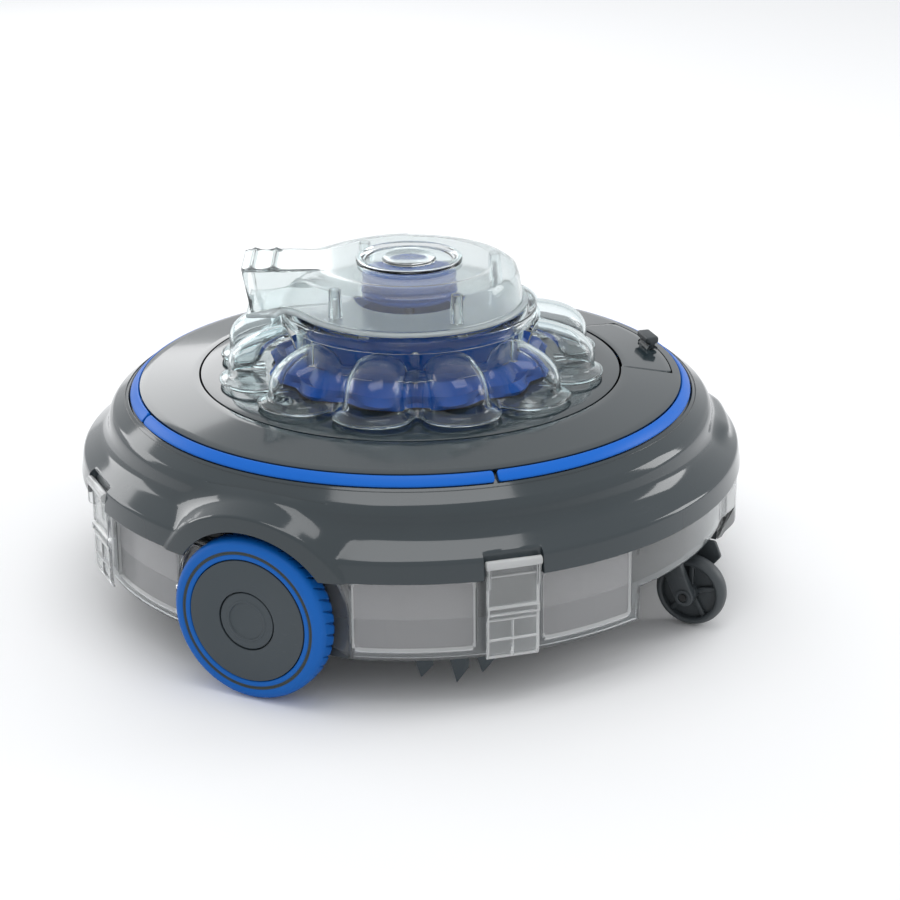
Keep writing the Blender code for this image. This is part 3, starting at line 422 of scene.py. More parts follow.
def makeShell():
    # each column is a section seen from a point inside the wall: along each direction the surface is
    # where the field, the softened least of profile and hood, turns from inside to outside
    s = shellSizes
    centreR, centreZ = s["eye"]
    outline = shellOutline()
    rowAngle = np.arctan2(outline[:, 1] - centreZ, outline[:, 0] - centreR)
    rowReach = np.hypot(outline[:, 1] - centreZ, outline[:, 0] - centreR)
    plan = shellColumns()
    theta = np.radians(plan)[None]
    sideways = np.abs(np.sin(theta))
    lipX = np.clip(s["faceR"] * sideways, 0, s["lip"])
    lipZ = axleZ + np.sqrt(s["lip"] ** 2 - lipX ** 2)
    lipAngle = np.arctan2(lipZ - centreZ, s["faceR"] - centreR)
    first = np.where(s["faceR"] * sideways < s["lip"], np.maximum(lipAngle, rowAngle[0]), rowAngle[0])
    kneeR, kneeZ = s["knee"]
    knee = math.atan2(kneeZ - centreZ, kneeR - centreR)
    row = rowAngle[:, None]
    squeezed = first + (row - rowAngle[0]) * (knee - first) / (knee - rowAngle[0])
    phi = np.where(row < knee, squeezed, row)
    order = np.argsort(rowAngle)
    profile = np.interp(phi, rowAngle[order], rowReach[order])
    near = np.abs((plan[:, None] - np.array(latchAngles)[None] + 180) % 360 - 180)
    offset = near.min(1)[None]
    swollen = s["swell"] * bulge(plan)[None]
    inPocket = offset < s["pocketHalf"]

    def field(t):
        r = centreR + t * np.cos(phi)
        z = centreZ + t * np.sin(phi)
        x, y = r * np.sin(theta), np.abs(r * np.cos(theta))
        barrel = np.hypot(x, z - axleZ) - (s["face"] + s["spread"] * np.maximum(s["faceR"] - y, 0))
        hood = softMax(barrel, r - s["faceR"], .0014)
        soft = .0012 + .0085 * ease((z - rimZ - .008) / .018)
        fuller = swollen * np.exp(-((z - s["swellZ"]) / s["swellWidth"]) ** 2)
        body = softMin(t - profile - fuller, hood, soft)
        recess = r * np.cos(np.radians(offset)) - s["pocketR"]
        return np.where(inPocket, np.maximum(body, recess), body)

    low, high = np.zeros_like(phi), np.full_like(phi, .08)
    for _ in range(26):
        middle = (low + high) / 2
        inside = field(middle) < 0
        low, high = np.where(inside, middle, low), np.where(inside, high, middle)
    fixed = (outline[:, 1] > rimZ + .0385)[:, None]
    reach = np.where(fixed, rowReach[:, None], low)
    direction = np.where(fixed, row, phi)
    radius = centreR + reach * np.cos(direction)
    z = centreZ + reach * np.sin(direction)
    seat = np.array([(bandR - .0060, bandZ + .0028), (bandR - .0076, bandZ + .0030),
                     (bandR - .0076, bandZ - .0010)])
    radius = np.concatenate([radius, np.broadcast_to(seat[:, :1], (3, len(plan)))])
    z = np.concatenate([z, np.broadcast_to(seat[:, 1:], (3, len(plan)))])
    skin = grid(around(radius, plan[None], z), wrapV=True)
    build("topShell", [skin], "upper", shellGrey, "top_shell", wall=s["wall"], sharp=32)


makeShell()
print("shell made")

# blue band
bandSizes = {"gap": .0006, "crown": .00035, "endRadius": .0016, "wideGap": .42, "depth": .0016}


def makeBand():
    # a rounded strip laid along the chamfer; across it the height is crown times (1 - s^2)
    inner, innerZ = bandR - .0058, bandZ + .0060
    across = np.array([inner - bandR, innerZ - bandZ])
    width = np.hypot(*across)
    across /= width
    up = np.array([across[1], -across[0]])
    half = width / 2 - bandSizes["gap"]
    s = np.linspace(-1, 1, 13)
    top = np.stack([s * half, bandSizes["crown"] * (1 - s ** 2)], -1)
    section = np.concatenate([[(-half, -bandSizes["depth"]), (-half, -.0003)], top[1:-1],
                              [(half, -.0003), (half, -bandSizes["depth"])]])
    centre = np.array([(bandR + inner) / 2, (bandZ + innerZ) / 2 + .0002])
    ends = latchAngles[1:] + (latchAngles[0] + 360,)
    for i, (a0, a1) in enumerate(zip(latchAngles, ends)):
        a0, a1 = a0 + bandSizes["wideGap"], a1 - bandSizes["wideGap"]
        fine = np.array([.06, .14, .25, .4])
        angle = np.sort(np.concatenate([np.linspace(a0, a1, 97), a0 + fine, a1 - fine]))
        away = np.minimum(angle - a0, a1 - angle) * math.pi / 180 * bandR
        r = bandSizes["endRadius"]
        pull = r - np.sqrt(np.maximum(r ** 2 - np.maximum(r - away, 0) ** 2, 0))
        narrow = (half - pull) / half
        local = section[None] * np.stack([narrow, np.ones_like(narrow)], -1)[:, None]
        rz = centre + local[..., :1] * across + local[..., 1:] * up
        points = around(rz[..., 0], angle[:, None], rz[..., 1])
        build(f"blueBand{i + 1}", [grid(points, wrapV=True), cap(points[0]), cap(points[-1])], "upper",
              blueGloss, f"blue_band_{i + 1}", sharp=40)


makeBand()
print("band made")

# deck, centre plate and carry handle
deckSizes = {
    "splitR": .1300, "seam": .0005, "hatch": 133.5, "hatchHalf": 18.5, "hatchInset": .0055,
    "hatchGap": .0013, "edge": .0004, "thick": .0022, "plateHole": .0600,
}
deckEdgeR = deckHigh.x - .0002
deckEdgeZ = bandZ + .0062
deckRise = (deckHigh.z - deckEdgeZ) / (deckEdgeR - deckSizes["splitR"])


def deckZ(radius):
    return deckEdgeZ + (deckEdgeR - radius) * deckRise


def slab(inner, outer, plan, rows=14):
    # top of a conical sheet between two radii, its borders rolled down by the edge radius
    e = deckSizes["edge"]
    v = np.concatenate([[0, .3, 1], np.linspace(2, rows - 2, rows - 3), [rows - 1, rows - .3, rows]]) / rows
    inner, outer = np.broadcast_to(inner, plan.shape), np.broadcast_to(outer, plan.shape)
    roll = np.zeros(len(v))
    roll[[0, -1]] = e * 3
    roll[[1, -2]] = e * .3
    depthIn = np.array([0, e * .3, e * 1.2])
    radius = inner[None] + (outer - inner)[None] * v[:, None]
    radius[1], radius[2] = inner + depthIn[1], inner + depthIn[2]
    radius[-2], radius[-3] = outer - depthIn[1], outer - depthIn[2]
    return radius, deckZ(radius) - roll[:, None]


def makeDeck():
    # three conical sheets: the deck with a bite for the handle, the plate inside its seam, and the handle
    d = deckSizes
    start, end = d["hatch"] - d["hatchHalf"], d["hatch"] + d["hatchHalf"]
    plan = np.unique(np.concatenate([np.arange(0, 360, 1.5), [start, start + .02, end - .02, end]]))
    inHatch = (plan > start + .01) & (plan < end - .01)
    hatchR = deckEdgeR - d["hatchInset"]
    inner = np.where(inHatch, hatchR + .0005, d["splitR"] + d["seam"])
    radius, z = slab(inner, deckEdgeR, plan)
    build("deckRing", [grid(around(radius, plan[None], z), wrapV=True)], "upper", shellGrey,
          "deck_ring", wall=d["thick"], sharp=50)

    plan = np.arange(0, 360, 1.5)
    radius, z = slab(d["plateHole"], d["splitR"] - d["seam"], plan, 10)
    z = z - deckZ(radius) + plateLow.z + .0030 + .0016 * (d["splitR"] - radius) / (d["splitR"] - .056)
    build("centrePlate", [grid(around(radius, plan[None], z), wrapV=True)], "upper", shellGrey,
          "centre_plate", wall=d["thick"], sharp=50)

    side = math.degrees(.0006 / d["splitR"])
    plan = np.linspace(start + side, end - side, 41)
    corner = .0040
    away = np.minimum(plan - plan[0], plan[-1] - plan) * math.pi / 180 * hatchR
    pull = corner - np.sqrt(np.maximum(corner ** 2 - np.maximum(corner - away, 0) ** 2, 0))
    radius, z = slab(d["splitR"] + d["hatchGap"], hatchR - pull, plan)
    build("carryHandle", [grid(around(radius, plan[None], z))], "handle", shellGrey,
          "carry_handle", wall=.0018, sharp=50)


def makeTab():
    # a rounded bar on a narrower stem with a wider foot, carried across the handle and rounded at its ends
    tabLow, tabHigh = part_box("handle_tab")
    middle = (tabLow + tabHigh) / 2
    reach = math.hypot(middle.x, middle.y)
    top, foot = tabHigh.z, tabLow.z
    outline = rounded([(-.0042, top - .0040), (-.0042, top), (.0042, top), (.0042, top - .0040),
                       (.0022, top - .0046), (.0022, foot + .0018), (.0036, foot), (-.0036, foot),
                       (-.0022, foot + .0018), (-.0022, top - .0046)],
                      [.0012, .0016, .0016, .0012, .0006, .0008, .0002, .0002, .0008, .0006], 4, True)
    part = prism(outline, -.0085, .0085, .0012)
    turn = Matrix.Rotation(math.radians(deckSizes["hatch"] - 90), 4, 'Z')
    place = turn @ Matrix.Translation((reach, 0, 0)) @ standing
    build("handleTab", [moved(part, place)], "handle", charcoal, "handle_tab", sharp=35)


makeDeck()
makeTab()
print("deck made")

# lobed clear cover
coverSizes = {"lobes": 12, "first": 14.5, "wall": .0017, "across": 30, "between": 5, "rows": 52,
              "lipR": .0997, "lipDepth": .0198, "lipHalf": .0236, "bead": .0010, "beadZ": .0034,
              "blunt": .85, "trough": .0042, "troughDrop": .0006}
footZ = deckHigh.z
# crest radius and height, base radius and height, half width; from the lip's underside up into the collar
lobeTable = [
    (.1198, .0026, .1005, .0026, .0238), (.1203, .0034, .1005, .0031, .0243),
    (.1199, .0043, .1003, .0038, .0240), (.1175, .0056, .0992, .0052, .0222),
    (.1153, .0070, .0975, .0070, .0196), (.1150, .0090, .0962, .0088, .0184),
    (.1154, .0126, .0950, .0118, .0181), (.1148, .0172, .0935, .0150, .0180),
    (.1122, .0222, .0912, .0178, .0178), (.1070, .0268, .0885, .0200, .0175),
    (.1000, .0303, .0855, .0216, .0172), (.0920, .0327, .0825, .0228, .0168),
    (.0850, .0341, .0795, .0237, .0165), (.0790, .0347, .0765, .0243, .0160),
]


def makeCover():
    # each lobe is a bent half tube: base + (crest - base) cos(u)^blunt outwards and up, half width sin(u)
    # sideways; a trough, trough sin(pi w) deep, joins it to the next
    c = coverSizes
    table = smoothRows(lobeTable, c["rows"])[:, :, None]
    crestR, crestZ, baseR, baseZ, half = (table[:, k] for k in range(5))
    u = np.linspace(-np.pi / 2, np.pi / 2, c["across"])[None]
    out = baseR + (crestR - baseR) * np.cos(u) ** c["blunt"]
    side = half * np.sin(u)
    z = footZ + baseZ + (crestZ - baseZ) * np.cos(u) ** c["blunt"]
    radius = np.hypot(out, side)
    swing = np.degrees(np.arctan2(side, out))
    pitch = 360 / c["lobes"]
    w = np.linspace(0, 1, c["between"] + 2)[None, 1:-1]
    troughSwing = swing[:, -1:] + (pitch - 2 * swing[:, -1:]) * w
    troughR = radius[:, -1:] - c["trough"] * np.sin(np.pi * w)
    troughZ = z[:, -1:] - c["troughDrop"] * np.sin(np.pi * w)
    oneR = np.concatenate([radius, troughR], 1)
    oneZ = np.concatenate([z, troughZ], 1)
    oneA = np.concatenate([swing, troughSwing], 1)
    angles = np.concatenate([oneA + c["first"] + pitch * k for k in range(c["lobes"])], 1)
    points = around(np.tile(oneR, c["lobes"]), angles, np.tile(oneZ, c["lobes"]))
    build("lobedCover", [grid(points, wrapV=True)], "upper", clear, "lobed_cover",
          wall=c["wall"], sharp=60)
    # a bead round each lip: centre + depth cos t outwards + half width sin t sideways, with a round section
    t = np.radians(np.arange(-126, 127, 4))
    ovalX, ovalY = c["lipR"] + c["lipDepth"] * np.cos(t), c["lipHalf"] * np.sin(t)
    normal = np.stack([np.cos(t) / c["lipDepth"], np.sin(t) / c["lipHalf"]], -1)
    normal /= np.linalg.norm(normal, axis=1)[:, None]
    ring = np.radians(np.arange(0, 360, 36))[None]
    x = ovalX[:, None] + c["bead"] * np.cos(ring) * normal[:, :1]
    y = ovalY[:, None] + c["bead"] * np.cos(ring) * normal[:, 1:]
    z = footZ + c["beadZ"] + c["bead"] * np.sin(ring) + 0 * x
    loops = np.stack([x, y, z], -1)
    beads = []
    for k in range(c["lobes"]):
        turn = Matrix.Rotation(math.radians(c["first"] + 360 / c["lobes"] * k - 90), 4, 'Z')
        beads += [moved(part, turn) for part in (grid(loops, wrapV=True), cap(loops[0]), cap(loops[-1]))]
    build("lobeBeads", beads, "upper", clear, sharp=60)


makeCover()
print("lobed cover made")

# pump housing, clear collar and posts
pumpSizes = {"tubeR": .0702, "tubeWall": .0020, "collarR": .0783, "posts": 6, "postR": .0024, "ribs": 12}


def makePump():
    shelf, collarZ, top = collarLow.z, collarHigh.z - .0087, collarHigh.z
    low = plateHigh.z + .0008
    # the housing's skirt bulges behind each lobe: radius + swell (rib - .55), with a blunt three-sided rib
    profile = spaced([(.0340, low), (.0850, low), (.0830, low + .0070), (.0765, shelf - .0080),
                      (.0690, shelf - .0010), (.0655, shelf + .0030), (.0650, collarZ - .0012),
                      (.0600, collarZ - .0004), (.0340, collarZ - .0004)], .0030)
    swell = np.interp(profile[:, 1], [low, low + .003, shelf - .010, shelf + .003], [.006, .013, .009, 0])
    swell = np.where(profile[:, 0] < .060, 0, swell)
    angle = np.arange(0, 360, 360 / (pumpSizes["ribs"] * 16))
    phase = (angle - coverSizes["first"]) * pumpSizes["ribs"] / 2
    rib = softMin(1.25 * (1 - np.abs((phase / 90 + 1) % 2 - 1)), 1.0, .3)
    radius = profile[:, :1] + swell[:, None] * (rib[None] - .55)
    points = around(radius, angle[None], profile[:, 1:])
    build("pumpHousing", [grid(points, wrapU=True, wrapV=True)], "upper", blueInside,
          "pump_housing", sharp=30)

    tube, wall, collar = pumpSizes["tubeR"], pumpSizes["tubeWall"], pumpSizes["collarR"]
    section = rounded([(collar, top - .0006), (collar, collarZ + .0008), (tube + .0022, collarZ),
                       (tube, collarZ - .0016), (tube, shelf), (tube - wall, shelf),
                       (tube - wall, top - .0020), (tube + .0012, top - .0014), (tube + .0018, top)],
                      [.0014, .0014, .0010, .0010, .0004, .0004, .0006, .0005, .0005], 4, True)
    parts = [turnedRing(section, 144)]
    first = coverSizes["first"] + 180 / coverSizes["lobes"]
    for k in range(pumpSizes["posts"]):
        x, y, _ = around(tube + .0012, first + 360 * k / pumpSizes["posts"], 0.0)
        parts.append(prism(circle(pumpSizes["postR"], 16, (x, y)), shelf + .0002, collarZ + .0004, .0005))
    build("swivelCollar", parts, "upper", clear, "swivel_collar", sharp=40)


makePump()
print("pump housing and collar made")

# volute with its jet nozzle
voluteSizes = {
    "angle": -63.5, "drumR": .0700, "wall": .0019, "reach": .1015, "slant": .0050, "mouthHalf": .0220,
    "rootHalf": .0640, "spreadX": .0860, "spread": .0800, "shift": -.0045, "windowHole": .0290, "lip": .0028,
    "blend": .0120, "rib": .0011, "ribWide": .0022, "ribs": (.0060, .0190),
    "drop": .0040, "dropR": .0784, "dropRun": .0060,     # the duct's sunken floor: depth, start and run
    "hubR": .0345, "flangeEdge": .0009, "bossTop": .0176,
}


def nozzleOutline(psi, drum, grow, reach):
    # plan radius at each direction from the swivel axis: the drum melted into a spout that widens in an
    # S-curve, half = mouth + (root - mouth) ease((spreadX - x) / spread), and cut off at the mouth
    v = voluteSizes
    sine, cosine = np.sin(psi), np.cos(psi)
    low, high = np.full_like(psi, .02), np.full_like(psi, .20)
    for _ in range(30):
        r = (low + high) / 2
        widening = ease((v["spreadX"] - r * cosine) / v["spread"])
        half = v["mouthHalf"] + (v["rootHalf"] - v["mouthHalf"]) * widening
        half = half + grow + np.where(sine > 0, v["shift"], -v["shift"])
        inside = r * np.abs(sine) < half
        low, high = np.where(inside, r, low), np.where(inside, high, r)
    spout = np.where(cosine > .02, low, 0.0)
    side = softMax(drum + 0 * psi, spout, v["blend"])
    mouth = np.where(cosine > .3, reach / np.maximum(cosine, .3), 1.0)
    return side, mouth


def voluteColumns(reach, grow):
    # directions round the casing, closest together beside the mouth's two corners
    v = voluteSizes
    up = math.atan((v["mouthHalf"] + grow + v["shift"]) / reach)
    down = -math.atan((v["mouthHalf"] + grow - v["shift"]) / reach)
    return np.concatenate([np.linspace(down, up, 17), np.linspace(up, up + .32, 49)[1:],
                           np.linspace(up + .32, 2 * math.pi + down - .32, 110)[1:],
                           np.linspace(down - .32, down, 49)[1:-1] + 2 * math.pi]), up, down


def ribBand(along):
    # 1 on the two raised ribs that cross the spout, 0 elsewhere
    v = voluteSizes
    return np.minimum(sum(ease(1 - np.abs(along - v["reach"] + d) / v["ribWide"]) for d in v["ribs"]), 1)


def makeVolute():
    # the outline at each height, drawn in over a broad shoulder on the drum and a tight one on the spout; the
    # top closes it as a ring of points running in to the window
    v = voluteSizes
    low, top = voluteLow.z, voluteHigh.z
    psi, up, down = voluteColumns(v["reach"], 0)
    height = np.array([0, .0004, .004, .009, .014, .0170, .0186, .0200, .0211, .0218, .0224, .0228, .0231])
    height = height * (top - low) / height[-1]
    shoulder = [0, .0140, .0186, .0211, .0223, .0231]
    drumInset = np.interp(height, shoulder, [0, .0024, .0042, .0080, .0120, .0180])
    spoutInset = np.interp(height, [0, .0205, .0222, .0231], [0, .0004, .0010, .0024])
    side0, _ = nozzleOutline(psi, v["drumR"], 0.0, v["reach"])
    spoutness = ease((side0 - v["drumR"] - .0040) / .0100)
    sideR, sideZ = [], []
    for h, dIn, sIn in zip(height, drumInset, spoutInset):
        share = h / (top - low)
        reach = v["reach"] + v["slant"] * (share - 1)
        side, mouth = nozzleOutline(psi, v["drumR"], 0.0, reach)
        side = side - dIn * (1 - spoutness) - sIn * spoutness
        side = side + v["rib"] * ribBand(side * np.cos(psi)) * spoutness
        reached = np.minimum(side, mouth)
        fall = v["drop"] * ease((reached - v["dropR"]) / v["dropRun"]) * (np.cos(psi) > .4)
        sideR.append(reached)
        sideZ.append(low + h - fall * (1 - share) ** 2)
    sideR, sideZ = np.array(sideR), np.array(sideZ)
    middle = (psi + math.pi) % (2 * math.pi) - math.pi
    inMouth = (middle > down - 1e-6) & (middle < up - 1e-6)
    keep = np.broadcast_to(~inMouth, (len(height) - 1, len(psi)))
    plan = v["angle"] + np.degrees(psi)
    wallPart = grid(around(sideR, plan[None], sideZ), wrapV=True, keep=keep)
    t = np.concatenate([[0, .01], np.linspace(.02, .34, 60), np.linspace(.36, 1, 24)])[:, None]
    topR = sideR[-1] + (v["windowHole"] - sideR[-1]) * t
    topZ = top + v["rib"] * ribBand(topR * np.cos(psi)[None]) * ease(t / .02) * (np.cos(psi)[None] > 0)
    topPart = grid(around(topR, plan[None], topZ), wrapV=True)
    build("voluteCover", [wallPart, topPart], "nozzle", hazy, "volute_cover",
          wall=v["wall"], sharp=50)

    bosses = []
    for i in range(1, 5):
        a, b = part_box(f"volute_screw_{i}")
        x, y = (a.x + b.x) / 2, (a.y + b.y) / 2
        ring = rounded([(.0042, low + .0003), (.0036, low + v["bossTop"]), (.0024, low + v["bossTop"]),
                        (.0024, low + .0003)], .0004, 3, True)
        bosses.append(moved(turnedRing(ring, 20), Matrix.Translation((x, y, 0))))
    build("screwBosses", bosses, "nozzle", clear, sharp=40)

    # flange: a rounded plate section carried round the outline
    baseLow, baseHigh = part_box("volute_base")
    psi, up, down = voluteColumns(v["reach"] + v["lip"], v["lip"])
    side, mouth = nozzleOutline(psi, v["drumR"], v["lip"], v["reach"] + v["lip"] - v["slant"])
    outer = np.minimum(side + v["lip"] * (1 - spoutness), mouth)
    e = v["flangeEdge"]
    rim = np.array([(-e, 0), (-e * .3, e * .3), (0, e)])
    thick = baseHigh.z - baseLow.z
    section = np.concatenate([rim, [(0, thick - e), (-e * .3, thick - e * .3), (-e, thick)]])
    hub = np.full_like(outer, v["hubR"])
    rows = [hub] + [outer + s[0] for s in section] + [hub]
    z = np.array([baseLow.z] + [baseLow.z + s[1] for s in section] + [baseHigh.z])[:, None]
    rows = np.array(rows)
    rows = np.insert(rows, [1, len(rows) - 1], np.minimum(outer - .0040, .0800), axis=0)
    z = np.insert(z, [1, len(z) - 1], [[baseLow.z], [baseHigh.z]], axis=0)
    z = z - v["drop"] * ease((rows - v["dropR"]) / v["dropRun"]) * (np.cos(psi)[None] > .4)
    points = around(rows, (v["angle"] + np.degrees(psi))[None], z)
    build("voluteBase", [grid(points, wrapU=True, wrapV=True)], "nozzle", milky,
          "volute_base", sharp=45)


windowSizes = {"seatGap": .0003, "rim": .0030, "dishR": .0165, "dishRise": .0022, "skirt": .0062}


def makeWindow():
    # a turned dish: a square rim, a slope down to the seat, and a low round boss in the middle
    w = windowSizes
    low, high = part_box("window_cap")
    r = high.x
    seat = voluteHigh.z + w["seatGap"]
    section = rounded([(r, seat), (r, high.z), (r - w["rim"], high.z), (r - .0055, seat + .0008),
                       (w["dishR"], seat + .0004), (.0160, seat + w["dishRise"]), (.0010, seat + .0024)],
                      [.0003, .0010, .0010, .0012, .0006, .0008, 0], 4)
    under = [(0, seat + .0024), (0, low.z + .0004), (r - w["skirt"], low.z + .0004), (r - .0056, seat)]
    profile = np.concatenate([section, under])
    build("windowCap", [turnedRing(profile, 96)], "nozzle", clear, "window_cap", sharp=40)


impellerSizes = {"bands": 3, "valley": .0030, "bore": .0040, "capR": .0170}


def makeImpeller():
    # a turned stack of rounded bands, with a shallow cap on top
    p = impellerSizes
    low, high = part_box("impeller")
    r = high.x
    z0, z1 = low.z, high.z
    step = (z1 - z0) / p["bands"]
    corners = [(p["bore"], z0)]
    for k in range(p["bands"]):
        a = z0 + step * k
        corners += [(r - p["valley"], a), (r, a + .0006), (r, a + step * .56),
                    (r - p["valley"], a + step * .66)]
    corners += [(r - .0060, z1), (p["capR"], z1), (.0165, z1 + .0012), (p["bore"], z1 + .0014)]
    profile = rounded(corners, .0008, 3, True)
    build("impellerRotor", [turnedRing(profile, 72)], "rotor", blueInside, "impeller",
          sharp=35)


makeVolute()
makeWindow()
makeImpeller()
print("volute made")

# clear debris bin
binSizes = {
    "wall": .0022, "bay": wheelR + .0078, "notch": 20.3, "notchZ": .0502, "windowDepth": .0016,
    "fuller": .0082, "windowLow": .0352, "windowHigh": .0762, "corner": .0035, "bayWall": .0018,
    "windows": ((17.2, 37.6), (49.6, 67.6)),      # between wheel and latch, and latch and caster
}


def windowMask(angle, z):
    # 1 inside a window, 0 outside: distance to a rounded box, eased over its bevel
    radius = binHigh.x
    mask = np.zeros(np.broadcast_shapes(angle.shape, z.shape))
    folded = np.minimum(angle % 180, 180 - angle % 180)
    s = binSizes
    for a, b in s["windows"]:
        x = np.radians(folded - (a + b) / 2) * radius
        halfW, halfH = math.radians(b - a) / 2 * radius, (s["windowHigh"] - s["windowLow"]) / 2
        dx = np.abs(x) - halfW + s["corner"]
        dz = np.abs(z - (s["windowHigh"] + s["windowLow"]) / 2) - halfH + s["corner"]
        gap = np.hypot(np.maximum(dx, 0), np.maximum(dz, 0)) + np.minimum(np.maximum(dx, dz), 0) - s["corner"]
        mask = np.maximum(mask, ease(-gap / .0013 + .5))
    return mask


def makeBin():
    # a wall of radius bin + fuller - window - tuck - band, whose lower edge steps over wheels and casters
    s = binSizes
    radius, low, high = binHigh.x, binLow.z, binHigh.z - .0006
    bayAngle = math.degrees(math.asin(s["bay"] / radius))
    openX = math.sqrt(s["bay"] ** 2 - (high - axleZ) ** 2)
    openAngle = math.degrees(math.asin(openX / radius))
    fine = [a + d for lo, hi in s["windows"] for a in (lo, hi) for d in (-.35, -.2, -.08, .08, .2, .35)]
    quarter = np.concatenate([np.linspace(openAngle, bayAngle - .02, 12), [bayAngle + .02],
                              np.arange(bayAngle + .6, 90 - s["notch"], .9), fine,
                              [90 - s["notch"] - .02, 90 - s["notch"] + .02], np.arange(70.5, 90, 1.5)])
    half = np.concatenate([quarter, 180 - quarter])
    plan = np.unique(np.round(np.concatenate([half, 360 - half]), 4))
    folded = np.minimum(plan % 180, 180 - plan % 180)
    x = radius * np.sin(np.radians(folded))
    bayZ = axleZ + np.sqrt(np.maximum(s["bay"] ** 2 - x ** 2, 0))
    bottom = np.where(folded < bayAngle, bayZ, np.where(folded > 90 - s["notch"], s["notchZ"], low))
    near = np.array([-.001, 0, .001]) - low
    v = np.concatenate([np.linspace(0, 1, 34), (s["windowLow"] + near) / (high - low),
                        (s["windowHigh"] + near) / (high - low)])
    v = np.unique(v)[:, None]
    z = bottom[None] + (high - bottom)[None] * v
    mask = windowMask(plan[None] + 0 * z, z)
    tuck = .0030 * (1 - np.sqrt(np.clip(1 - (1 - np.clip((z - low) / .0030, 0, 1)) ** 2, 0, 1)))
    band = .0010 * ease((z - high + .0062) / .0008)
    fuller = s["fuller"] * bulge(plan)[None] * ease((z - .0290) / .0120)
    r = radius + fuller - s["windowDepth"] * mask - tuck - band
    points = around(r, plan[None], z)
    skip = folded < openAngle - .001
    jump = (np.diff(np.append(plan, plan[0] + 360)) > 4) & (folded < openAngle + .01)
    keep = np.broadcast_to(~jump & ~skip, (len(v) - 1, len(plan)))
    middle = (mask[:-1] + mask[1:]) / 2
    middle = (middle + np.roll(middle, -1, 1)) / 2
    looks = np.where(middle > .90, 1, np.where(middle > .12, 2, 0))
    looks = np.where(bulge(plan)[None] > .3, 2, looks)[keep]
    part = grid(points, wrapV=True, keep=keep)
    build("clearBin", [part], "hull", [clearBin, frosted, moulding], "clear_bin",
          wall=s["wall"], sharp=50, faceLooks=looks)

    # round housings behind the wheels: the bay's outline swept inwards, closed by a dished back
    arcA = np.radians(np.linspace(0, 180, 61))
    legs = np.linspace(low + .0010, axleZ, 8)[:-1]
    outX = np.concatenate([np.full(7, s["bay"]), s["bay"] * np.cos(arcA), np.full(7, -s["bay"])])
    outZ = np.concatenate([legs, axleZ + s["bay"] * np.sin(arcA), legs[::-1]])
    outZ = np.minimum(outZ, high)
    startY = np.sqrt(np.maximum(radius ** 2 - outX ** 2, 0)) - .0006
    backY = faceY - .0180 - .0036
    t = np.linspace(0, 1, 5)[:, None]
    sweepY = startY + (backY - startY) * t
    sweepY = np.minimum(sweepY, startY)
    shrink = np.array([.93, .80, .50, .14])[:, None]
    rows = [np.stack([outX + 0 * y, -y, outZ + 0 * y], -1) for y in sweepY]
    for k in shrink:
        rows.append(np.stack([outX * k, np.full_like(outX, -backY + .0006), axleZ + (outZ - axleZ) * k], -1))
    bay = grid(np.array(rows))
    for tag, part in (("Right", bay), ("Left", mirroredY(bay))):
        build("wheelBay" + tag, [part], "hull", clearBin, wall=s["bayWall"], sharp=50)


makeBin()
print("bin made")

# latches
latchSizes = {
    "width": .0310, "barR": .0028, "relief": .0012, "ridge": .0011, "ridgeZ": -.0289,
    "bars": ((-.0080, .0004), (-.0265, .0008), (-.0312, .0008), (-.0345, .0005), (-.0468, .0006)),
}


def latchRelief(y, z, width, drop):
    # how far the front stands out: shallow panels sunk between raised ribs, a double ridge and a rolled foot
    edge = np.minimum(width / 2 - np.abs(y), .0100)
    border = ease((.0017 - edge) / .0006)
    ribs = np.maximum(border, ease((.0010 - np.abs(y)) / .0005) * (z < -.0345))
    for level, thick in latchSizes["bars"]:
        ribs = np.maximum(ribs, ease((thick + .0003 - np.abs(z - level)) / .0005))
    foot = ease((.0022 - (z + drop)) / .0015)
    ridge = ease((.0032 - np.abs(z - latchSizes["ridgeZ"])) / .0010)
    ribs = np.maximum(ribs, foot)
    return latchSizes["relief"] * ribs + latchSizes["ridge"] * ridge, ribs


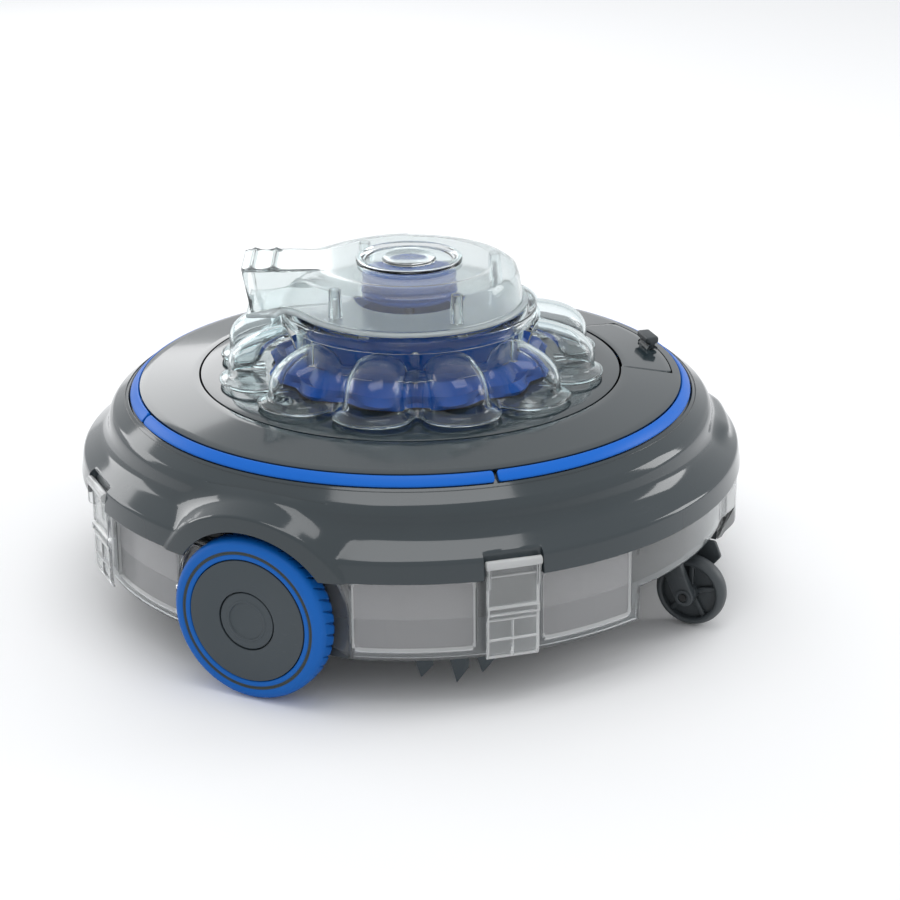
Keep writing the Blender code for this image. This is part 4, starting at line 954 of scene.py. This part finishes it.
def makeLatches():
    # a thin leaf whose front is a field of relief over (across, down), hung from a round rod by two cheeks
    w, bar = latchSizes["width"], latchSizes["barR"]
    for i, angle in enumerate(latchAngles):
        low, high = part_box(f"latch_{i + 1}")
        hingeZ = high.z - bar
        drop = hingeZ - low.z
        radius = rimR - .0021
        y = np.concatenate([np.linspace(-w / 2, -w / 2 + .0030, 9),
                            np.linspace(-w / 2 + .0036, w / 2 - .0036, 36),
                            np.linspace(w / 2 - .0030, w / 2, 9)])
        z = np.linspace(-drop + .0006, -.0022, 118)
        yy, zz = np.meshgrid(y, z)
        curl = .0016 * ease((.0060 - (zz + drop)) / .0060)
        relief, ribs = latchRelief(yy, zz, w, drop)
        x = -bar + .0011 + relief - curl
        back = np.full_like(x, -bar + .0003) - curl * .6
        front = np.stack([x, yy, zz], -1)
        rear = np.stack([back, yy, zz], -1)
        loop = np.concatenate([front, rear[:, ::-1]], 1)
        white = np.zeros((len(z) - 1, 2 * len(y)), int)
        white[:, :len(y) - 1] = (ribs[:-1, :-1] + ribs[1:, 1:]) > 1.0
        barRod = prism(circle(bar, 24), -w / 2 - .0009, w / 2 + .0009, .0006)
        flanges = []
        cheek = rounded([(-bar + .0004, -.0160), (bar * .72, -.0140), (bar * .80, .0010), (0, bar - .0001),
                         (-bar + .0004, 0)], .0012, 4, True)
        for side in (-1, 1):
            a, b = sorted((side * (w / 2 - .0016), side * (w / 2 + .0002)))
            flanges.append(moved(prism(cheek, a, b, .0004), standing))
        plan = math.radians(angle)
        place = Matrix.Translation((radius * math.sin(plan), -radius * math.cos(plan), hingeZ))
        hinge = place @ Matrix.Rotation(math.radians(angle - 90), 4, 'Z')
        parts = [grid(loop, wrapV=True), cap(loop[0]), cap(loop[-1]), moved(barRod, standing)] + flanges
        parts = [moved(part, hinge) for part in parts]
        # the raised ribs and the rod are white, all else is clear
        counts = [len(quads) for _, quads in parts]
        looks = np.concatenate([white.ravel(), np.zeros(counts[1] + counts[2], int), np.ones(counts[3], int),
                                np.zeros(sum(counts[4:]), int)])
        build(f"latch{i + 1}", parts, "latch_" + "abcd"[i], [latchClear, moulding],
              f"latch_{i + 1}", sharp=40, faceLooks=looks)


makeLatches()
print("latches made")

# drive wheels
wheelSizes = {
    "hubR": .0369, "capR": .0177, "width": .0180, "treads": 43, "treadDepth": .0024, "groove": .0006,
    "slope": 7.5,            # how far the tread slits slant, in radians per metre across the crown
}


def makeTyre():
    # a closed section carried round the axle; slits cut into the crown where a slanted wave is near its peak
    s = wheelSizes
    seat = s["hubR"] + .0004
    back = -s["width"]
    corners = [(seat, back + .0004), (seat, -.0007), (seat + .0008, 0), (.0401, 0), (.0405, -s["groove"]),
               (.0412, -s["groove"]), (.04135, -.0001), (.0415, -s["groove"]), (.0422, -s["groove"]),
               (.0426, 0), (wheelR - .0038, 0), (wheelR - .0012, -.0018), (wheelR, -.0052),
               (wheelR, back + .0040), (wheelR - .0014, back + .0012), (wheelR - .0040, back)]
    radii = [.0003, .0005, .0006, .0003, .0002, .0001, .0001, .0001, .0002, .0003, .0020, .0022, .0030,
             .0025, .0012, .0012]
    section = rounded(corners, radii, 3, True)
    section = np.concatenate([spaced(section, .0014), section[:1]])[:-1]
    angle = np.arange(0, 360, 360 / (s["treads"] * 14))
    r, y = section[:, :1], section[:, 1:]
    phase = (angle[None] / 360 * s["treads"] + y * s["slope"] * s["treads"] / (2 * np.pi)) % 1
    # the slit opens like a wedge towards the back, with one steep side
    width = .06 + .30 * np.clip((-y - .0050) / .0110, 0, 1)
    slit = ease((phase - .30) / .07) * ease((.30 + width - phase) / (.04 + .6 * width))
    onCrown = ease((r - wheelR + .0026) / .0016) * ease((-y - .0046) / .0012)
    onCrown = onCrown * ease((y + s["width"] + .0005) / .0010)
    r = r - s["treadDepth"] * slit * onCrown
    a = np.radians(angle)[None]
    points = np.stack([r * np.cos(a), y + 0 * a, r * np.sin(a)], -1)
    return grid(points, wrapU=True, wrapV=True)


def makeWheels():
    # tyre, hub and cap are turned sections; the right-hand wheel is the left one turned about
    s = wheelSizes
    tyre = makeTyre()
    recess, hubBack, capEdge = s["capR"] + .0002, -s["width"] + .0006, s["capR"] - .0006
    hubProfile = rounded([(recess, -.0030), (recess, 0), (s["hubR"], 0), (s["hubR"], hubBack),
                          (.0046, hubBack), (.0046, -.0030)],
                         [.0002, .0004, .0005, .0004, .0003, .0003], 3, True)
    capProfile = rounded([(0, -.0032), (capEdge, -.0032), (capEdge, -.0003), (.0127, -.0003),
                          (.0123, .0001), (.0113, .0001), (.0109, -.0007), (0, -.0007)],
                         [0, .0004, .0006, .0002, .0003, .0003, .0002, 0], 3, True)
    lay = Matrix(((1, 0, 0, 0), (0, 0, 1, 0), (0, -1, 0, 0), (0, 0, 0, 1)))
    for side, tag in ((-1, "right"), (1, "left")):
        turn = Matrix.Rotation(math.pi if side < 0 else 0, 4, 'Z')
        place = Matrix.Translation((0, side * faceY, axleZ)) @ turn
        body = tag + "_wheel"
        build(tag + "Tyre", [moved(tyre, place)], body, blueTyre, tag + "_tyre", sharp=32)
        for name, node, profile, segments in (("Hub", "_hub", hubProfile, 120),
                                              ("HubCap", "_hub_cap", capProfile, 96)):
            part = moved(turnedRing(profile, segments), place @ lay)
            build(tag + name, [part], body, hubGrey, tag + node, sharp=35)


makeWheels()
print("wheels made")

# casters
casterSizes = {
    "half": .0068, "rim": .0052, "hub": .0052, "spokes": 5, "spokeW": .0030, "web": .0024, "bore": .0023,
    "armIn": .0086, "armOut": .0140, "bossR": .0050, "footHalf": .0070, "bridgeHalf": .0138,
}


def makeCasters():
    # a turned tread and hub joined by a thin web and blunt spokes, in a fork of flat arms
    s = casterSizes
    for sign, tag in ((1, "front"), (-1, "rear")):
        low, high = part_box(f"{tag}_caster_wheel")
        centre = (low + high) / 2
        outerR, half = (high.z - low.z) / 2, s["half"]
        rimIn, hubEdge = outerR - s["rim"], s["hub"] - .0006
        tread = rounded([(rimIn, half - .0012), (outerR - .0030, half), (outerR - .0006, half * .5),
                         (outerR, 0), (outerR - .0006, -half * .5), (outerR - .0030, -half),
                         (rimIn, -half + .0012)],
                        [.0008, .0018, .004, .004, .004, .0018, .0008], 3, True)
        hub = rounded([(s["bore"], half), (s["hub"], half), (s["hub"] + .0006, -half), (s["bore"], -half)],
                      .0006, 3, True)
        web = [(hubEdge, s["web"] / 2), (rimIn + .0008, s["web"] / 2), (rimIn + .0008, -s["web"] / 2),
               (hubEdge, -s["web"] / 2)]
        parts = [turnedRing(tread, 72), turnedRing(hub, 32), turnedRing(web, 72)]
        w = s["spokeW"] / 2
        outline = rounded([(hubEdge, -w * 1.3), (rimIn + .0006, -w), (rimIn + .0006, w), (hubEdge, w * 1.3)],
                          .0004, 2, True)
        spoke = prism(outline, -half * .55, half * .55, .0007)
        for k in range(s["spokes"]):
            parts.append(moved(spoke, Matrix.Rotation(math.tau * (k + .2) / s["spokes"], 4, 'Z')))
        lay = Matrix.Translation(centre) @ Matrix.Rotation(math.pi / 2, 4, 'X')
        build(tag + "CasterWheel", [moved(p, lay) for p in parts], f"{tag}_caster", charcoal,
              f"{tag}_caster_wheel", sharp=35)

        # fork: two leaning arms with round bosses, a bridge and a guard fin
        turn = Matrix.Rotation(0 if sign > 0 else math.pi, 4, 'Z')
        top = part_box(f"{tag}_caster_fork")[1].z
        cx, cz = abs(centre.x), centre.z
        foot, footHalf = cx - .0125, s["footHalf"]
        a = np.radians(np.linspace(-150, 30, 15))
        sides = rounded([(cx + .0053, cz + .0032), (foot + footHalf, top - .0006),
                         (foot - footHalf, top - .0006), (cx - .0053, cz - .0030)], [0, .0010, .0010, 0], 3)
        arm = np.concatenate([np.stack([cx + .0060 * np.cos(a), cz + .0060 * np.sin(a)], -1), sides[1:-1]])
        fork = []
        for side in (-1, 1):
            y0, y1 = sorted((side * s["armIn"], side * s["armOut"]))
            fork.append(moved(prism(arm, y0, y1, .0009), turn @ standing))
            y0, y1 = sorted((side * .0138, side * .0151))
            section = rounded([(.0030, y0), (s["bossR"], y0), (.0046, y1), (.0030, y1)], .0004, 2, True)
            fork.append(moved(turnedRing(section, 32), turn @ Matrix.Translation((cx, 0, cz)) @ standing))
        y = s["bridgeHalf"]
        bridge = rounded([(foot - footHalf, -y), (foot + footHalf, -y), (foot + footHalf, y),
                          (foot - footHalf, y)], .0012, 3, True)
        fork.append(moved(prism(bridge, top - .0030, top - .0001, .0006), turn))
        fin = rounded([(cx - .0100, top - .0002), (cx - .0100, top - .0168), (cx + .0040, top - .0208),
                       (cx + .0130, top - .0098), (cx + .0090, top - .0002)], .0015, 3, True)
        fork.append(moved(prism(fin, .0137, .0163, .0007), turn @ standing))
        build(tag + "CasterFork", fork, "hull", charcoal, f"{tag}_caster_fork", sharp=35)


makeCasters()
print("casters made")

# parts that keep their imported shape
kept = {
    "base_tray": charcoal, "bulkhead": charcoal, "board_carrier": charcoal, "filter_screen": frosted,
    "motor_can": steel, "motor_shaft": steel, "control_board": boardGreen, "battery_pack": blueInside,
    "bin_gasket_front": blackRubber, "bin_gasket_rear": blackRubber, "shaft_seal": blackRubber,
    "front_inlet_flap": blackRubber, "rear_inlet_flap": blackRubber, "right_axle": steel, "left_axle": steel,
    "front_caster_pin": blackRubber, "rear_caster_pin": blackRubber,
}
for i in range(1, 5):
    kept[f"volute_screw_{i}"] = steel
for i in range(1, 4):
    kept[f"floor_fin_right_{i}"] = hubGrey
    kept[f"floor_fin_left_{i}"] = hubGrey
for name, look in kept.items():
    mesh = cad[name].data
    mesh.materials.clear()
    mesh.materials.append(look)
print("packed parts finished")

# floor, light and camera
stageSizes = {"floor": 34.0, "world": .86, "air": (.97, .985, 1.0), "floorTone": (.93, .93, .935)}


def makeStage():
    # a sheet that falls away slowly, z = -(r / 400)^2 - .0002
    half = stageSizes["floor"] / 2
    u = np.linspace(-half, half, 41)
    x, y = np.meshgrid(u, u)
    points = np.stack([x, y, -((x ** 2 + y ** 2) / 400 ** 2) - .0002], -1)
    verts, quads = grid(points)
    mesh = bpy.data.meshes.new("studioFloor")
    mesh.from_pydata(verts.tolist(), [], quads.tolist())
    floor = bpy.data.objects.new("studioFloor", mesh)
    scene.collection.objects.link(floor)
    mesh.shade_smooth()
    tone = stageSizes["floorTone"]
    look = finishOf("studioPaper", tone, tuple(c * .985 for c in tone), .75, .1, 600, .3, .00005)[0]
    mesh.materials.append(look)
    world = bpy.data.worlds.new("studioAir")
    world.use_nodes = True
    background = world.node_tree.nodes["Background"]
    background.inputs["Color"].default_value = (*stageSizes["air"], 1)
    background.inputs["Strength"].default_value = stageSizes["world"]
    scene.world = world
    scene.view_settings.view_transform = 'Standard'


cameraSizes = {"azimuth": 26.5, "elevation": 21.27, "roll": .42, "lens": 104.48, "unit": .174,
               "eye": (.13913, -8.79067, 3.16499), "height": .1255}


def viewMatrix():
    return Matrix.Rotation(math.radians(cameraSizes["azimuth"]), 4, 'Z')


def makeCamera():
    c = cameraSizes
    e, roll = math.radians(c["elevation"]), math.radians(c["roll"])
    right = Vector((math.cos(roll), -math.sin(e) * math.sin(roll), -math.cos(e) * math.sin(roll)))
    up = Vector((math.sin(roll), math.sin(e) * math.cos(roll), math.cos(e) * math.cos(roll)))
    back = Vector((0, -math.cos(e), math.sin(e)))
    eye = Vector(c["eye"]) * c["unit"]
    local = Matrix.Translation(eye) @ Matrix((right, up, back)).transposed().to_4x4()
    data = bpy.data.cameras.new("studioCamera")
    data.lens = c["lens"]
    data.sensor_width = 36
    camera = bpy.data.objects.new("studioCamera", data)
    scene.collection.objects.link(camera)
    camera.matrix_world = Matrix.Translation((0, 0, c["height"])) @ viewMatrix() @ local
    scene.camera = camera


softboxes = {
    # where (right, away, up), aimed at, width, height, power
    "leftBox": ((-1.55, .95, .75), (-.05, 0, .12), .90, .70, 5.5),
    "backBox": ((-.56, 1.60, .76), (-.10, 0, .13), .90, .60, 3.4),
    "topBox": ((.10, -.25, 1.75), (0, 0, .10), 1.10, .70, 6.5),
    "rightBox": ((1.45, .35, .62), (0, 0, .10), .50, .70, 4.5),
}


def makeLights():
    for name, (spot, aim, width, height, power) in softboxes.items():
        data = bpy.data.lights.new(name, 'AREA')
        data.shape = 'RECTANGLE'
        data.size, data.size_y = width, height
        data.energy = power
        light = bpy.data.objects.new(name, data)
        scene.collection.objects.link(light)
        spot, aim = viewMatrix() @ Vector(spot), viewMatrix() @ Vector(aim)
        light.location = spot
        light.rotation_euler = (aim - spot).to_track_quat('-Z', 'Y').to_euler()


makeStage()
makeCamera()
makeLights()
print("stage made")
